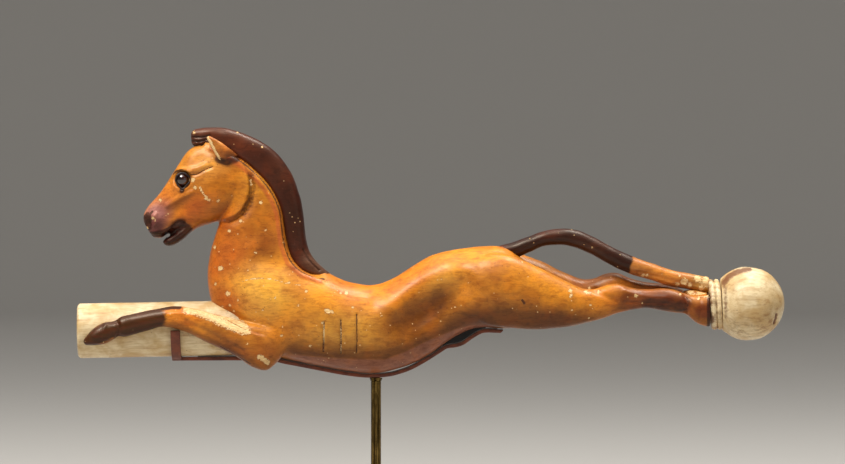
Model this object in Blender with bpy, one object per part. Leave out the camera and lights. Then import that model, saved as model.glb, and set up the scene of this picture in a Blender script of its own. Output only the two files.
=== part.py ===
"""Leaping horse figure held in a wire cradle that turns on an upright brass rod.

Sizes are in millimetres and become metres where a mesh is made. The stand frame has its origin at the
foot of the rod, +Z up. The figure frame has the same axes and its origin higher on the rod's axis, just
under the cradle rail. The horse's head is towards -X and its left side towards -Y.
"""

import math

import bmesh
import bpy
from mathutils import Matrix, Vector

MM = 0.001

# Clearances
JOINT_GAP = 0.1        # between pieces that are fixed together
RUNNING_GAP = 0.06     # between pieces that turn on each other

# Rod, spigot and bearing
ROD_RADIUS = 1.08
ROD_LENGTH = 32.0
ROD_CHAMFER = 0.2
SPIGOT_RADIUS = 0.55
SPIGOT_LENGTH = 1.25
WASHER_RADIUS = 1.2
WASHER_THICKNESS = 0.25
BUSH_FLANGE_RADIUS = 1.35
BUSH_FLANGE_THICKNESS = 0.4
BUSH_WALL = 0.3

# Cradle
RAIL_WIDTH = 2.2
RAIL_THICKNESS = 0.75
RAIL_TIP_THICKNESS = 0.3
RAIL_BOSS_RADIUS = 1.9
LINER_THICKNESS = 0.18
LINER_GAP = 0.03
CLIP_X = -42.4
CLIP_WIDTH = 2.0
CLIP_THICKNESS = 0.75
CLIP_REACH = math.radians(88)   # from straight below the handle round its side
PAD_WIDTH = 2.4
PAD_GAP = 0.15

# Handle cylinder in front of the chest
HANDLE_RADIUS = 5.85
HANDLE_LENGTH = 39.2
HANDLE_TILT = math.radians(1)     # its front end lower than its back end
HANDLE_BACK = Vector((-24.3, 0, 10.75))
HANDLE_FRONT = HANDLE_BACK - Vector((math.cos(HANDLE_TILT), 0, math.sin(HANDLE_TILT))) * HANDLE_LENGTH
HANDLE_BEVEL = 0.45
HANDLE_DOWEL_RADIUS = 1.6
HANDLE_DOWEL_LENGTH = 10.0

# Knob and collar behind the hind hooves
COLLAR_CENTRE = Vector((72.3, 0, 15.65))
COLLAR_TILT = math.radians(2)
COLLAR_THICKNESS = 2.4
COLLAR_RADIUS = 5.35
COLLAR_BEAD = 0.45
KNOB_RADIUS = 7.85
KNOB_DOWEL_RADIUS = 1.2
KNOB_DOWEL_DEPTH = 5.0        # into the knob
KNOB_DOWEL_HOOF = 2.6         # between the hooves

# Eyes
EYE_PLACE = Vector((-40.9, 2.5, 42.0))
EYE_RADIUS = 1.45
EYE_RIM_PROUD = 1.0           # from the eye's centre out to the rim's middle
EYE_RIM_WIRE = 0.3
EYE_POCKET_REACH = 4.0        # from the eye's centre out past the cheek

# Tail, pins and dowels
TAIL_SPLIT = 54.3             # along X, where the dark and the light lengths meet
TAIL_DOWEL_RADIUS = 0.7
TAIL_DOWEL_LENGTH = 7.0
HIND_SPLIT = 41.0             # along X, where a hind leg is let on to the thigh
HIND_DOWEL_RADIUS = 1.0
HIND_DOWEL_LENGTH = 8.0
FORE_PIN_PLACE = Vector((-21.4, 0, 7.4))
FORE_PIN_RADIUS = 0.8
FORE_PIN_SHORT = 0.6          # each end short of the middle of its foreleg

# Sections. Each gives the two ends of the section in the plane of symmetry, (x, z) and (x, z),
# then its half width, and on an ear or a hind leg the distance of its middle from that plane. On a
# foreleg the last number is the distance of its middle outwards from the handle's side.
TORSO = [
    ((33.9, 23.0), (33.0, 13.2), 3.0),
    ((30.7, 25.6), (30.0, 11.1), 5.8),
    ((27.1, 27.8), (26.4, 10.75), 7.2),
    ((22.2, 27.7), (22.6, 11.0), 7.6),
    ((16.8, 27.2), (19.2, 10.2), 7.3),
    ((11.9, 26.0), (15.3, 7.9), 7.0),
    ((7.9, 23.7), (11.5, 5.2), 7.0),
    ((4.0, 21.1), (6.8, 2.9), 7.4),
    ((-0.4, 19.55), (0.4, 1.2), 7.9),
    ((-5.1, 20.05), (-5.5, 1.6), 8.3),
    ((-9.2, 21.65), (-11.5, 2.6), 8.5),
    ((-12.4, 23.6), (-17.9, 3.9), 8.5),
    ((-14.9, 25.8), (-24.3, 5.6), 8.1),
    ((-16.4, 28.0), (-29.4, 8.5), 7.6),
    ((-17.0, 30.3), (-33.5, 13.2), 6.8),
    ((-17.7, 33.2), (-35.3, 18.3), 6.0),
    ((-18.1, 36.2), (-35.6, 23.0), 5.4),
    ((-19.0, 39.2), (-34.8, 27.7), 4.9),
    ((-20.5, 42.4), (-33.5, 32.0), 4.5),
    ((-22.6, 45.2), (-32.0, 36.4), 4.2),
    ((-25.6, 47.7), (-32.0, 39.6), 4.0),
    ((-29.4, 49.7), (-33.7, 42.2), 3.7),
    ((-33.0, 50.6), (-36.0, 44.8), 3.2),
    ((-36.2, 50.6), (-37.7, 46.9), 2.3),
]
HEAD = [
    ((-32.8, 49.2), (-26.9, 41.6), 2.6),
    ((-35.8, 49.3), (-27.1, 38.8), 3.5),
    ((-38.4, 49.4), (-28.8, 36.0), 3.9),
    ((-40.3, 48.0), (-31.5, 34.3), 4.1),
    ((-41.6, 46.0), (-34.4, 33.1), 4.05),
    ((-43.0, 44.0), (-37.1, 32.3), 3.7),
    ((-44.5, 41.8), (-39.0, 31.8), 3.2),
    ((-45.9, 39.5), (-40.7, 31.5), 2.8),
    ((-47.3, 37.9), (-42.4, 31.4), 2.6),
    ((-48.7, 36.4), (-44.3, 30.8), 2.6),
    ((-49.5, 34.9), (-45.8, 29.8), 2.4),
    ((-49.6, 33.3), (-47.6, 29.9), 1.6),
]
LOWER_JAW = [
    ((-37.9, 34.5), (-37.1, 32.4), 1.6),
    ((-40.1, 33.2), (-38.8, 31.6), 2.0),
    ((-42.0, 32.0), (-39.6, 31.0), 2.1),
    ((-43.5, 30.6), (-41.2, 29.3), 2.1),
    ((-44.9, 29.6), (-43.3, 28.1), 1.9),
    ((-45.6, 29.2), (-44.9, 28.2), 1.1),
]
MANE = [
    ((-39.3, 52.2), (-39.2, 49.6), 1.5),
    ((-38.4, 53.1), (-37.5, 49.2), 1.85),
    ((-35.8, 53.4), (-34.9, 49.0), 1.85),
    ((-32.4, 53.3), (-33.5, 48.4), 1.85),
    ((-29.0, 52.4), (-31.1, 47.1), 1.85),
    ((-25.9, 51.15), (-29.0, 45.8), 1.8),
    ((-22.9, 49.4), (-26.9, 44.1), 1.8),
    ((-20.35, 47.1), (-24.9, 42.2), 1.8),
    ((-18.4, 44.3), (-23.2, 40.1), 1.75),
    ((-16.9, 41.0), (-21.9, 37.9), 1.7),
    ((-15.85, 37.3), (-20.9, 35.4), 1.7),
    ((-15.3, 33.7), (-20.5, 32.6), 1.65),
    ((-15.1, 30.3), (-20.0, 28.8), 1.6),
    ((-14.2, 26.9), (-18.5, 24.7), 1.5),
    ((-12.4, 24.3), (-15.6, 22.2), 1.3),
    ((-9.8, 22.2), (-11.5, 20.9), 0.8),
]
TAIL = [
    ((24.3, 26.0), (25.8, 23.4), 1.2),
    ((26.4, 27.9), (27.7, 25.2), 1.5),
    ((29.0, 28.9), (30.5, 25.8), 1.7),
    ((32.4, 30.1), (33.0, 27.0), 1.7),
    ((36.0, 31.3), (36.0, 28.1), 1.7),
    ((39.6, 31.8), (39.2, 28.3), 1.7),
    ((43.0, 31.4), (42.0, 27.9), 1.75),
    ((46.5, 30.0), (45.2, 26.6), 1.8),
    ((49.9, 28.1), (48.4, 24.9), 1.85),
    ((55.0, 25.8), (53.5, 22.4), 1.85),
    ((59.5, 24.2), (58.6, 20.9), 1.8),
    ((63.1, 23.0), (62.2, 19.6), 1.75),
    ((66.9, 22.25), (66.5, 18.9), 1.7),
    ((69.5, 21.75), (69.3, 18.3), 1.6),
    ((72.0, 21.3), (72.0, 17.9), 1.5),
]
EAR = [
    ((-29.8, 47.3), (-32.4, 44.8), 0.8, 2.4),
    ((-30.7, 48.6), (-33.0, 46.2), 1.0, 3.0),
    ((-32.4, 49.9), (-34.1, 47.9), 0.9, 3.1),
    ((-34.3, 50.9), (-35.2, 49.7), 0.7, 3.2),
    ((-35.5, 51.5), (-35.9, 51.0), 0.35, 3.2),
]
FORELEG = [
    ((-17.9, 12.8), (-18.8, 5.1), 1.6, 0.45),
    ((-21.3, 11.9), (-20.3, 3.2), 2.4, 0.55),
    ((-24.3, 11.3), (-23.2, 1.8), 2.7, 0.65),
    ((-27.7, 11.9), (-26.2, 2.5), 2.8, 0.55),
    ((-30.7, 12.8), (-29.4, 4.7), 2.8, 0.45),
    ((-34.1, 13.6), (-33.2, 6.6), 2.7, 0.35),
    ((-37.1, 14.5), (-36.7, 8.2), 2.6, 0.25),
    ((-39.6, 15.0), (-40.1, 10.1), 2.5, 0.25),
    ((-42.2, 15.3), (-43.0, 10.9), 2.4, 0.25),
    ((-45.0, 15.1), (-45.4, 11.1), 2.2, 0.25),
    ((-48.2, 14.6), (-47.9, 10.2), 2.1, 0.25),
    ((-51.4, 14.0), (-50.9, 9.3), 2.1, 0.25),
    ((-54.1, 13.2), (-53.3, 9.0), 2.1, 0.25),
    ((-56.3, 12.1), (-55.2, 9.1), 1.9, 0.25),
    ((-58.6, 11.3), (-56.5, 7.9), 2.1, 0.25),
    ((-60.5, 10.0), (-58.8, 7.4), 2.0, 0.25),
    ((-62.0, 7.8), (-61.4, 7.4), 1.2, 0.25),
]
# A hind leg's last number lifts the right leg, which is carried a little higher than the left.
HIND_LEG = [
    ((20.0, 24.3), (21.3, 12.8), 2.4, 4.6, 0.0),
    ((24.3, 26.5), (24.3, 11.3), 3.4, 4.5, 0.3),
    ((29.6, 25.8), (29.4, 10.7), 3.9, 4.4, 0.9),
    ((34.9, 23.4), (34.5, 10.5), 3.8, 4.3, 1.5),
    ((39.6, 21.0), (39.2, 10.9), 3.5, 4.1, 1.7),
    ((43.7, 19.0), (44.3, 11.8), 3.0, 3.8, 1.9),
    ((46.5, 18.8), (48.2, 12.85), 2.7, 3.5, 2.2),
    ((49.0, 19.8), (50.7, 13.75), 2.5, 3.2, 2.3),
    ((51.4, 20.0), (52.6, 14.3), 2.4, 3.0, 2.3),
    ((53.9, 19.3), (54.8, 14.8), 2.2, 2.9, 2.0),
    ((57.3, 18.9), (57.3, 15.1), 2.0, 2.8, 1.5),
    ((60.5, 19.0), (60.3, 14.6), 2.2, 2.7, 1.0),
    ((63.3, 18.8), (63.7, 14.0), 2.4, 2.7, 0.7),
    ((65.6, 18.0), (65.8, 13.8), 2.3, 2.7, 0.6),
    ((67.3, 17.5), (67.1, 12.7), 2.3, 2.7, 0.5),
    ((69.0, 17.6), (69.0, 11.5), 2.5, 2.7, 0.4),
    ((72.6, 18.0), (72.6, 10.8), 2.55, 2.7, 0.3),
]
# The top of the rail behind the handle. Its middle point lies on the rod's axis.
RAIL_TOP = [
    (-19.1, 3.7),
    (-14.8, 2.9),
    (-11.2, 2.2),
    (-6.9, 1.4),
    (-2.9, 0.9),
    (0.0, 0.85),
    (2.8, 1.1),
    (5.0, 1.65),
    (7.2, 2.45),
    (9.3, 3.55),
    (11.4, 4.8),
    (13.5, 6.15),
    (14.9, 7.0),
    (16.9, 7.3),
    (18.4, 7.8),
    (20.1, 9.0),
    (22.2, 10.2),
    (23.8, 10.45),
    (25.2, 10.4),
    (27.1, 10.35),
]
LINER_FROM, LINER_TO = -11.5, 15.0
PAD_FROM, PAD_TO, PAD_STEPS = 15.8, 22.4, 5


def to_metres(matrix=None):
    """A scale from millimetres to metres, put in front of a placing matrix."""
    return Matrix.Scale(MM, 4) @ (matrix or Matrix.Identity(4))


def clear_scene():
    for obj in list(bpy.data.objects):
        bpy.data.objects.remove(obj, do_unlink=True)


def finish(name, material, colour, roughness, metallic=0.0):
    surface = bpy.data.materials.get(material) or bpy.data.materials.new(material)
    surface.use_nodes = True
    shader = surface.node_tree.nodes["Principled BSDF"]
    shader.inputs["Base Color"].default_value = (*colour, 1)
    shader.inputs["Roughness"].default_value = roughness
    shader.inputs["Metallic"].default_value = metallic
    bpy.data.objects[name].data.materials.append(surface)


def add_object(name, bm, parent=None):
    """An object from a bmesh in millimetres, smooth but for its sharp edges."""
    bmesh.ops.transform(bm, matrix=to_metres(), verts=bm.verts)
    bmesh.ops.recalc_face_normals(bm, faces=bm.faces)
    mesh = bpy.data.meshes.new(name)
    bm.to_mesh(mesh)
    bm.free()
    mesh.shade_smooth()
    mesh.set_sharp_from_angle(angle=math.radians(40))
    obj = bpy.data.objects.new(name, mesh)
    bpy.context.scene.collection.objects.link(obj)
    obj.parent = parent
    return obj


def boolean(obj, other, operation):
    modifier = obj.modifiers.new(f"{operation.lower()} {other.name}", "BOOLEAN")
    modifier.operation = operation
    modifier.solver = "EXACT"
    modifier.object = other
    other.hide_render = True
    other.display_type = "WIRE"
    return obj


def catmull_rom(before, start, end, after, share):
    """A number between start and end, on the smooth curve through all four."""
    return 0.5 * (
        2 * start
        + (end - before) * share
        + (2 * before - 5 * start + 4 * end - after) * share**2
        + (3 * start - before - 3 * end + after) * share**3
    )


def refined(rows, steps):
    """Rows of numbers with steps - 1 smooth ones added between each two."""
    found = []
    for i in range(len(rows) - 1):
        four = rows[max(i - 1, 0)], rows[i], rows[i + 1], rows[min(i + 2, len(rows) - 1)]
        for step in range(steps):
            found.append([catmull_rom(*values, step / steps) for values in zip(*four)])
    return found + [list(rows[-1])]


def section_rows(sections, side=1, lifted=False):
    """Sections as rows of upper x, upper z, lower x, lower z, half width and distance from the middle."""
    rows = []
    for (upper_x, upper_z), (lower_x, lower_z), half_width, *rest in sections:
        distance = rest[0] * side if rest else 0.0
        lift = rest[1] if lifted else 0.0
        rows.append([upper_x, upper_z + lift, lower_x, lower_z + lift, half_width, distance])
    return rows


def grown(rows, by):
    """The rows of the same loft with its surface moved out, for the hollow that it fits."""
    wider = []
    for upper_x, upper_z, lower_x, lower_z, half_width, distance in rows:
        across = Vector((upper_x - lower_x, upper_z - lower_z)).normalized() * by
        wider.append([
            upper_x + across.x, upper_z + across.y, lower_x - across.x, lower_z - across.y,
            half_width + by, distance,
        ])
    for end, inner in ((0, 1), (-1, -2)):
        middle = [(wider[end][k] + wider[end][k + 2]) / 2 for k in (0, 1)]
        inner_middle = [(wider[inner][k] + wider[inner][k + 2]) / 2 for k in (0, 1)]
        outward = (Vector(middle) - Vector(inner_middle)).normalized() * by
        for k, shift in ((0, outward.x), (1, outward.y), (2, outward.x), (3, outward.y)):
            wider[end][k] += shift
    return wider


def loft(rows, sides, steps=1):
    """A bmesh whose elliptical sections follow the rows, closed at both ends."""
    bm = bmesh.new()
    rings = []
    for upper_x, upper_z, lower_x, lower_z, half_width, distance in refined(rows, steps):
        upper, lower = Vector((upper_x, distance, upper_z)), Vector((lower_x, distance, lower_z))
        half = (upper - lower) / 2
        across = Vector((0, half_width, 0))
        along = across.cross(half).normalized()
        placing = Matrix((across, half, along)).transposed().to_4x4()
        placing.translation = (upper + lower) / 2
        ring = bmesh.ops.create_circle(bm, segments=sides, radius=1, matrix=placing)["verts"]
        members = set(ring)
        rings.append([e for e in bm.edges if e.verts[0] in members and e.verts[1] in members])
    for first, second in zip(rings, rings[1:]):
        bmesh.ops.bridge_loops(bm, edges=first + second)
    for ring in (rings[0], rings[-1]):
        bmesh.ops.edgeloop_fill(bm, edges=ring)
    return bm


def between(start, end, radius, sides=24, bevel=0.0):
    """A bmesh of a round bar from one point to another."""
    bm = bmesh.new()
    axis = end - start
    placing = Matrix.Translation((start + end) / 2) @ axis.to_track_quat("Z", "X").to_matrix().to_4x4()
    bmesh.ops.create_cone(
        bm, cap_ends=True, segments=sides, radius1=radius, radius2=radius,
        depth=axis.length, matrix=placing,
    )
    if bevel:
        rims = [e for e in bm.edges if len({len(f.verts) for f in e.link_faces}) == 2]
        bmesh.ops.bevel(bm, geom=rims, offset=bevel, affect="EDGES", segments=2, profile=0.5, material=-1)
    return bm


def turned(profile, placing, sides=24):
    """A bmesh of a (radius, height) profile spun round the placing's Z axis. It starts and ends on the axis."""
    bm = bmesh.new()
    points = [bm.verts.new(placing @ Vector((radius, 0, height))) for radius, height in profile]
    edges = [bm.edges.new(pair) for pair in zip(points, points[1:])]
    axis = placing.to_3x3() @ Vector((0, 0, 1))
    bmesh.ops.spin(
        bm, geom=points + edges, cent=placing.translation, axis=axis,
        angle=2 * math.pi, steps=sides, use_merge=True,
    )
    bmesh.ops.remove_doubles(bm, verts=bm.verts, dist=1e-3)
    return bm


def cut_flat(bm, point, normal):
    """Cuts away what lies on the normal's side of a plane and closes the cut."""
    geometry = bm.verts[:] + bm.edges[:] + bm.faces[:]
    cut = bmesh.ops.bisect_plane(bm, geom=geometry, plane_co=point, plane_no=normal, clear_outer=True)
    rim = [e for e in cut["geom_cut"] if isinstance(e, bmesh.types.BMEdge)]
    bmesh.ops.edgeloop_fill(bm, edges=rim)
    return bm


def collar_placing(along=0.0):
    """The collar's own frame, Z towards the knob, moved along its axis."""
    tilt = Matrix.Rotation(math.pi / 2 - COLLAR_TILT, 4, "Y")
    return Matrix.Translation(COLLAR_CENTRE) @ tilt @ Matrix.Translation((0, 0, along))


def collar_axis():
    return (collar_placing().to_3x3() @ Vector((0, 0, 1))).normalized()


def hoof_plane():
    """A point on the plane where hooves and tail stop, just short of the collar."""
    return COLLAR_CENTRE - collar_axis() * (COLLAR_THICKNESS / 2 + JOINT_GAP)


def side_name(side):
    return "left" if side < 0 else "right"


def rail_line():
    """The rail's top from the clips to its tail end, as points."""
    height = handle_middle(CLIP_X - CLIP_WIDTH / 2).z - HANDLE_RADIUS - JOINT_GAP
    return [(CLIP_X - CLIP_WIDTH / 2, height), (HANDLE_BACK.x, height)] + RAIL_TOP


def handle_middle(x):
    """The point of the handle's axis at x."""
    return HANDLE_FRONT.lerp(HANDLE_BACK, (x - HANDLE_FRONT.x) / (HANDLE_BACK.x - HANDLE_FRONT.x))


def height_on(points, x):
    """The height of a line through points at x."""
    for (x0, z0), (x1, z1) in zip(points, points[1:]):
        if x0 <= x <= x1:
            return z0 + (z1 - z0) * (x - x0) / (x1 - x0)
    return points[-1][1]


def strip(points, half_width, low, high, tip_low=None):
    """A bmesh of a flat strip along points, from low to high above them, which may taper at its end."""
    bm = bmesh.new()
    rings = []
    for i, point in enumerate(points):
        before, after = Vector(points[max(i - 1, 0)]), Vector(points[min(i + 1, len(points) - 1)])
        along = (after - before).normalized()
        up = Vector((-along.y, 0, along.x))
        bottom = tip_low if tip_low is not None and i == len(points) - 1 else low
        base = Vector((point[0], 0, point[1]))
        placing = Matrix((Vector((0, half_width, 0)), up * (high - bottom) / 2, Vector((along.x, 0, along.y))))
        placing = placing.transposed().to_4x4()
        placing.translation = base + up * (bottom + high) / 2
        turn = Matrix.Rotation(math.radians(45), 4, "Z")
        ring = bmesh.ops.create_circle(bm, segments=4, radius=math.sqrt(2), matrix=placing @ turn)["verts"]
        members = set(ring)
        rings.append([e for e in bm.edges if e.verts[0] in members and e.verts[1] in members])
    for first, second in zip(rings, rings[1:]):
        bmesh.ops.bridge_loops(bm, edges=first + second)
    for ring in (rings[0], rings[-1]):
        bmesh.ops.edgeloop_fill(bm, edges=ring)
    return bm


def make_stand():
    """The rod with its spigot, and the washer that the bush runs on. They stay still."""
    spigot_top = ROD_LENGTH + SPIGOT_LENGTH
    profile = [
        (0, 0), (ROD_RADIUS - ROD_CHAMFER, 0), (ROD_RADIUS, ROD_CHAMFER),
        (ROD_RADIUS, ROD_LENGTH), (SPIGOT_RADIUS, ROD_LENGTH),
        (SPIGOT_RADIUS, spigot_top - ROD_CHAMFER), (SPIGOT_RADIUS - ROD_CHAMFER, spigot_top),
        (0, spigot_top),
    ]
    add_object("rod", turned(profile, Matrix.Identity(4)))
    low = ROD_LENGTH + RUNNING_GAP / 2
    inner = SPIGOT_RADIUS + RUNNING_GAP
    washer = turned_ring(inner, WASHER_RADIUS, low, low + WASHER_THICKNESS)
    add_object("thrust_washer", washer)


def turned_ring(inner, outer, low, high, sides=24):
    """A bmesh of a flat ring round Z."""
    bm = bmesh.new()
    corners = [(inner, low), (outer, low), (outer, high), (inner, high)]
    points = [bm.verts.new((radius, 0, z)) for radius, z in corners]
    edges = [bm.edges.new((points[i], points[(i + 1) % 4])) for i in range(4)]
    bmesh.ops.spin(
        bm, geom=points + edges, cent=(0, 0, 0), axis=(0, 0, 1),
        angle=2 * math.pi, steps=sides, use_merge=True,
    )
    bmesh.ops.remove_doubles(bm, verts=bm.verts, dist=1e-3)
    return bm


def bush_foot():
    """The height of the bush's underside in the figure frame, where it runs on the washer."""
    return height_on(RAIL_TOP, 0) - RAIL_THICKNESS - BUSH_FLANGE_THICKNESS


def make_pivot_bush(figure):
    """The flanged bush brazed into the rail. It turns on the spigot."""
    inner = SPIGOT_RADIUS + RUNNING_GAP
    barrel = inner + BUSH_WALL
    top = height_on(RAIL_TOP, 0)
    shoulder = top - RAIL_THICKNESS - RUNNING_GAP
    bm = bmesh.new()
    corners = [
        (inner, bush_foot()), (BUSH_FLANGE_RADIUS, bush_foot()),
        (BUSH_FLANGE_RADIUS, shoulder), (barrel, shoulder), (barrel, top), (inner, top),
    ]
    points = [bm.verts.new((radius, 0, z)) for radius, z in corners]
    edges = [bm.edges.new((points[i], points[(i + 1) % len(points)])) for i in range(len(points))]
    bmesh.ops.spin(
        bm, geom=points + edges, cent=(0, 0, 0), axis=(0, 0, 1),
        angle=2 * math.pi, steps=24, use_merge=True,
    )
    bmesh.ops.remove_doubles(bm, verts=bm.verts, dist=1e-3)
    add_object("pivot_bush", bm, figure)
    depth = Vector((0, 0, 2 * RAIL_THICKNESS))
    middle = Vector((0, 0, top))
    hole = between(middle - depth, middle + depth, barrel + JOINT_GAP / 2)
    return add_object("bush_hole", hole, figure)


def make_cradle(figure):
    """The rail under the figure, its soft liner, the black pad under the flank and the two front clips."""
    hole = make_pivot_bush(figure)
    line = rail_line()
    bar = strip(line, RAIL_WIDTH / 2, -RAIL_THICKNESS, 0, tip_low=-RAIL_TIP_THICKNESS)
    rail = add_object("cradle_rail", bar, figure)
    boss_top = Vector((0, 0, height_on(RAIL_TOP, 0)))
    boss = between(boss_top - Vector((0, 0, RAIL_THICKNESS)), boss_top, RAIL_BOSS_RADIUS)
    boolean(rail, add_object("rail_boss", boss, figure), "UNION")
    boolean(rail, hole, "DIFFERENCE")
    covered = [p for p in line if LINER_FROM <= p[0] <= LINER_TO]
    liner = strip(covered, RAIL_WIDTH / 2, LINER_GAP, LINER_GAP + LINER_THICKNESS)
    add_object("rail_liner", liner, figure)
    make_flank_pad(figure, line)
    for side in (-1, 1):
        add_object(f"clip_{side_name(side)}", clip(side), figure)


def make_flank_pad(figure, line):
    """A block that fills the space between the rail and the horse's flank."""
    belly = sorted((lower[0], lower[1]) for _, lower, *_ in TORSO)
    rows = []
    for step in range(PAD_STEPS + 1):
        x = PAD_FROM + (PAD_TO - PAD_FROM) * step / PAD_STEPS
        low = height_on(line, x) + PAD_GAP
        high = height_on(belly, x) - PAD_GAP
        rows.append((x, low, high))
    bm = bmesh.new()
    outline = [bm.verts.new((x, -PAD_WIDTH / 2, low)) for x, low, high in rows]
    outline += [bm.verts.new((x, -PAD_WIDTH / 2, high)) for x, low, high in reversed(rows)]
    face = bm.faces.new(outline)
    grown_face = bmesh.ops.extrude_face_region(bm, geom=[face])["geom"]
    moved = [v for v in grown_face if isinstance(v, bmesh.types.BMVert)]
    bmesh.ops.translate(bm, verts=moved, vec=(0, PAD_WIDTH, 0))
    add_object("flank_pad", bm, figure)


def clip(side):
    """A flat band bent round one side of the handle, from beside the rail upwards."""
    axis = (HANDLE_BACK - HANDLE_FRONT).normalized()
    centre = handle_middle(CLIP_X)
    inner = HANDLE_RADIUS + JOINT_GAP
    start = math.asin((RAIL_WIDTH / 2 + JOINT_GAP) / inner)
    bm = bmesh.new()
    corners = []
    for along, radius in ((-1, inner), (1, inner), (1, inner + CLIP_THICKNESS), (-1, inner + CLIP_THICKNESS)):
        corners.append(bm.verts.new(centre + axis * along * CLIP_WIDTH / 2 - Vector((0, 0, radius))))
    face = bm.faces.new(corners)
    turn = Matrix.Rotation(-side * start, 4, axis)
    bmesh.ops.rotate(bm, verts=bm.verts, cent=centre, matrix=turn)
    ends = bmesh.ops.spin(
        bm, geom=[face] + face.edges[:] + corners, cent=centre, axis=axis,
        angle=-side * (CLIP_REACH - start), steps=12,
    )
    assert ends["geom_last"]
    bmesh.ops.remove_doubles(bm, verts=bm.verts, dist=1e-3)
    return bm


def make_handle(figure):
    """The cylinder between the forelegs and the dowel that holds it to the chest."""
    handle = add_object("handle_cylinder", between(HANDLE_FRONT, HANDLE_BACK, HANDLE_RADIUS, 36, HANDLE_BEVEL), figure)
    axis = (HANDLE_BACK - HANDLE_FRONT).normalized()
    half = axis * HANDLE_DOWEL_LENGTH / 2
    add_object("handle_dowel", between(HANDLE_BACK - half, HANDLE_BACK + half, HANDLE_DOWEL_RADIUS, 16), figure)
    clear = half + axis * JOINT_GAP
    hole = between(HANDLE_BACK - clear, HANDLE_BACK + clear, HANDLE_DOWEL_RADIUS + JOINT_GAP, 16)
    hole = add_object("handle_dowel_hole", hole, figure)
    boolean(handle, hole, "DIFFERENCE")
    start, end = HANDLE_FRONT - axis, HANDLE_BACK + axis * JOINT_GAP
    seat = add_object("handle_seat", between(start, end, HANDLE_RADIUS + JOINT_GAP, 36), figure)
    return [seat, hole]


def make_mane(figure):
    rows = section_rows(MANE)
    add_object("mane", loft(rows, 12), figure)
    return add_object("mane_groove", loft(grown(rows, JOINT_GAP), 12), figure)


def make_ears(figure):
    cutters = []
    for side in (-1, 1):
        rows = section_rows(EAR, side)
        add_object(f"ear_{side_name(side)}", loft(rows, 10), figure)
        seat = loft(grown(rows, JOINT_GAP), 10)
        cutters.append(add_object(f"ear_seat_{side_name(side)}", seat, figure))
    return cutters


def make_eyes(figure):
    """Each eye is a round stone in a pocket, with a rim laid round it at the pocket's mouth."""
    cutters = []
    for side in (-1, 1):
        place = Vector((EYE_PLACE.x, EYE_PLACE.y * side, EYE_PLACE.z))
        outward = Matrix.Rotation(math.pi / 2 * -side, 4, "X")
        eye = bmesh.new()
        bmesh.ops.create_uvsphere(
            eye, u_segments=14, v_segments=8, radius=EYE_RADIUS, matrix=Matrix.Translation(place) @ outward,
        )
        add_object(f"eye_{side_name(side)}", eye, figure)
        touching = math.sqrt(EYE_RADIUS**2 - (EYE_RIM_PROUD - EYE_RIM_WIRE) ** 2)
        rim_radius = touching + EYE_RIM_WIRE + JOINT_GAP / 2
        rim = bmesh.new()
        rim_place = Matrix.Translation(place) @ outward @ Matrix.Translation((0, 0, EYE_RIM_PROUD))
        wire = bmesh.ops.create_circle(
            rim, segments=6, radius=EYE_RIM_WIRE,
            matrix=rim_place @ Matrix.Translation((rim_radius, 0, 0)) @ Matrix.Rotation(math.pi / 2, 4, "X"),
        )["verts"]
        bmesh.ops.spin(
            rim, geom=wire + rim.edges[:], cent=rim_place.translation,
            axis=rim_place.to_3x3() @ Vector((0, 0, 1)), angle=2 * math.pi, steps=18, use_merge=True,
        )
        bmesh.ops.remove_doubles(rim, verts=rim.verts, dist=1e-3)
        add_object(f"eye_rim_{side_name(side)}", rim, figure)
        deep = place + Vector((0, -side * (EYE_RADIUS + JOINT_GAP), 0))
        out = place + Vector((0, side * EYE_POCKET_REACH, 0))
        pocket = between(deep, out, rim_radius + EYE_RIM_WIRE + JOINT_GAP, 20)
        cutters.append(add_object(f"eye_pocket_{side_name(side)}", pocket, figure))
    return cutters


def foreleg_rows(side):
    """The foreleg's sections, set out from the side of the handle."""
    placed = [(upper, lower, width, HANDLE_RADIUS + out) for upper, lower, width, out in FORELEG]
    return section_rows(placed, side)


def foreleg_distance(x):
    """How far the middle of a foreleg is from the plane of symmetry at x."""
    return height_on(sorted((row[0], row[5]) for row in foreleg_rows(1)), x)


def make_forelegs(figure, handle_seat):
    """Both forelegs, scribed to the handle, and the pin through the chest that holds them."""
    cutters = []
    half = Vector((0, foreleg_distance(FORE_PIN_PLACE.x) - FORE_PIN_SHORT, 0))
    add_object("foreleg_pin", between(FORE_PIN_PLACE - half, FORE_PIN_PLACE + half, FORE_PIN_RADIUS, 16), figure)
    half.y += JOINT_GAP
    hole = between(FORE_PIN_PLACE - half, FORE_PIN_PLACE + half, FORE_PIN_RADIUS + JOINT_GAP, 16)
    hole = add_object("foreleg_pin_hole", hole, figure)
    for side in (-1, 1):
        rows = foreleg_rows(side)
        leg = add_object(f"foreleg_{side_name(side)}", loft(rows, 12), figure)
        boolean(leg, handle_seat, "DIFFERENCE")
        boolean(leg, hole, "DIFFERENCE")
        seat = loft(grown(rows, JOINT_GAP), 12)
        cutters.append(add_object(f"foreleg_seat_{side_name(side)}", seat, figure))
    return cutters + [hole]


def hind_axis(rows):
    """The point on the leg's middle line at the split, and the line's direction there."""
    for row, following in zip(rows, rows[1:]):
        here = Vector(((row[0] + row[2]) / 2, row[5], (row[1] + row[3]) / 2))
        there = Vector(((following[0] + following[2]) / 2, following[5], (following[1] + following[3]) / 2))
        if here.x <= HIND_SPLIT <= there.x:
            return here.lerp(there, (HIND_SPLIT - here.x) / (there.x - here.x)), (there - here).normalized()
    raise ValueError("the hind leg's split lies outside the leg")


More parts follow.
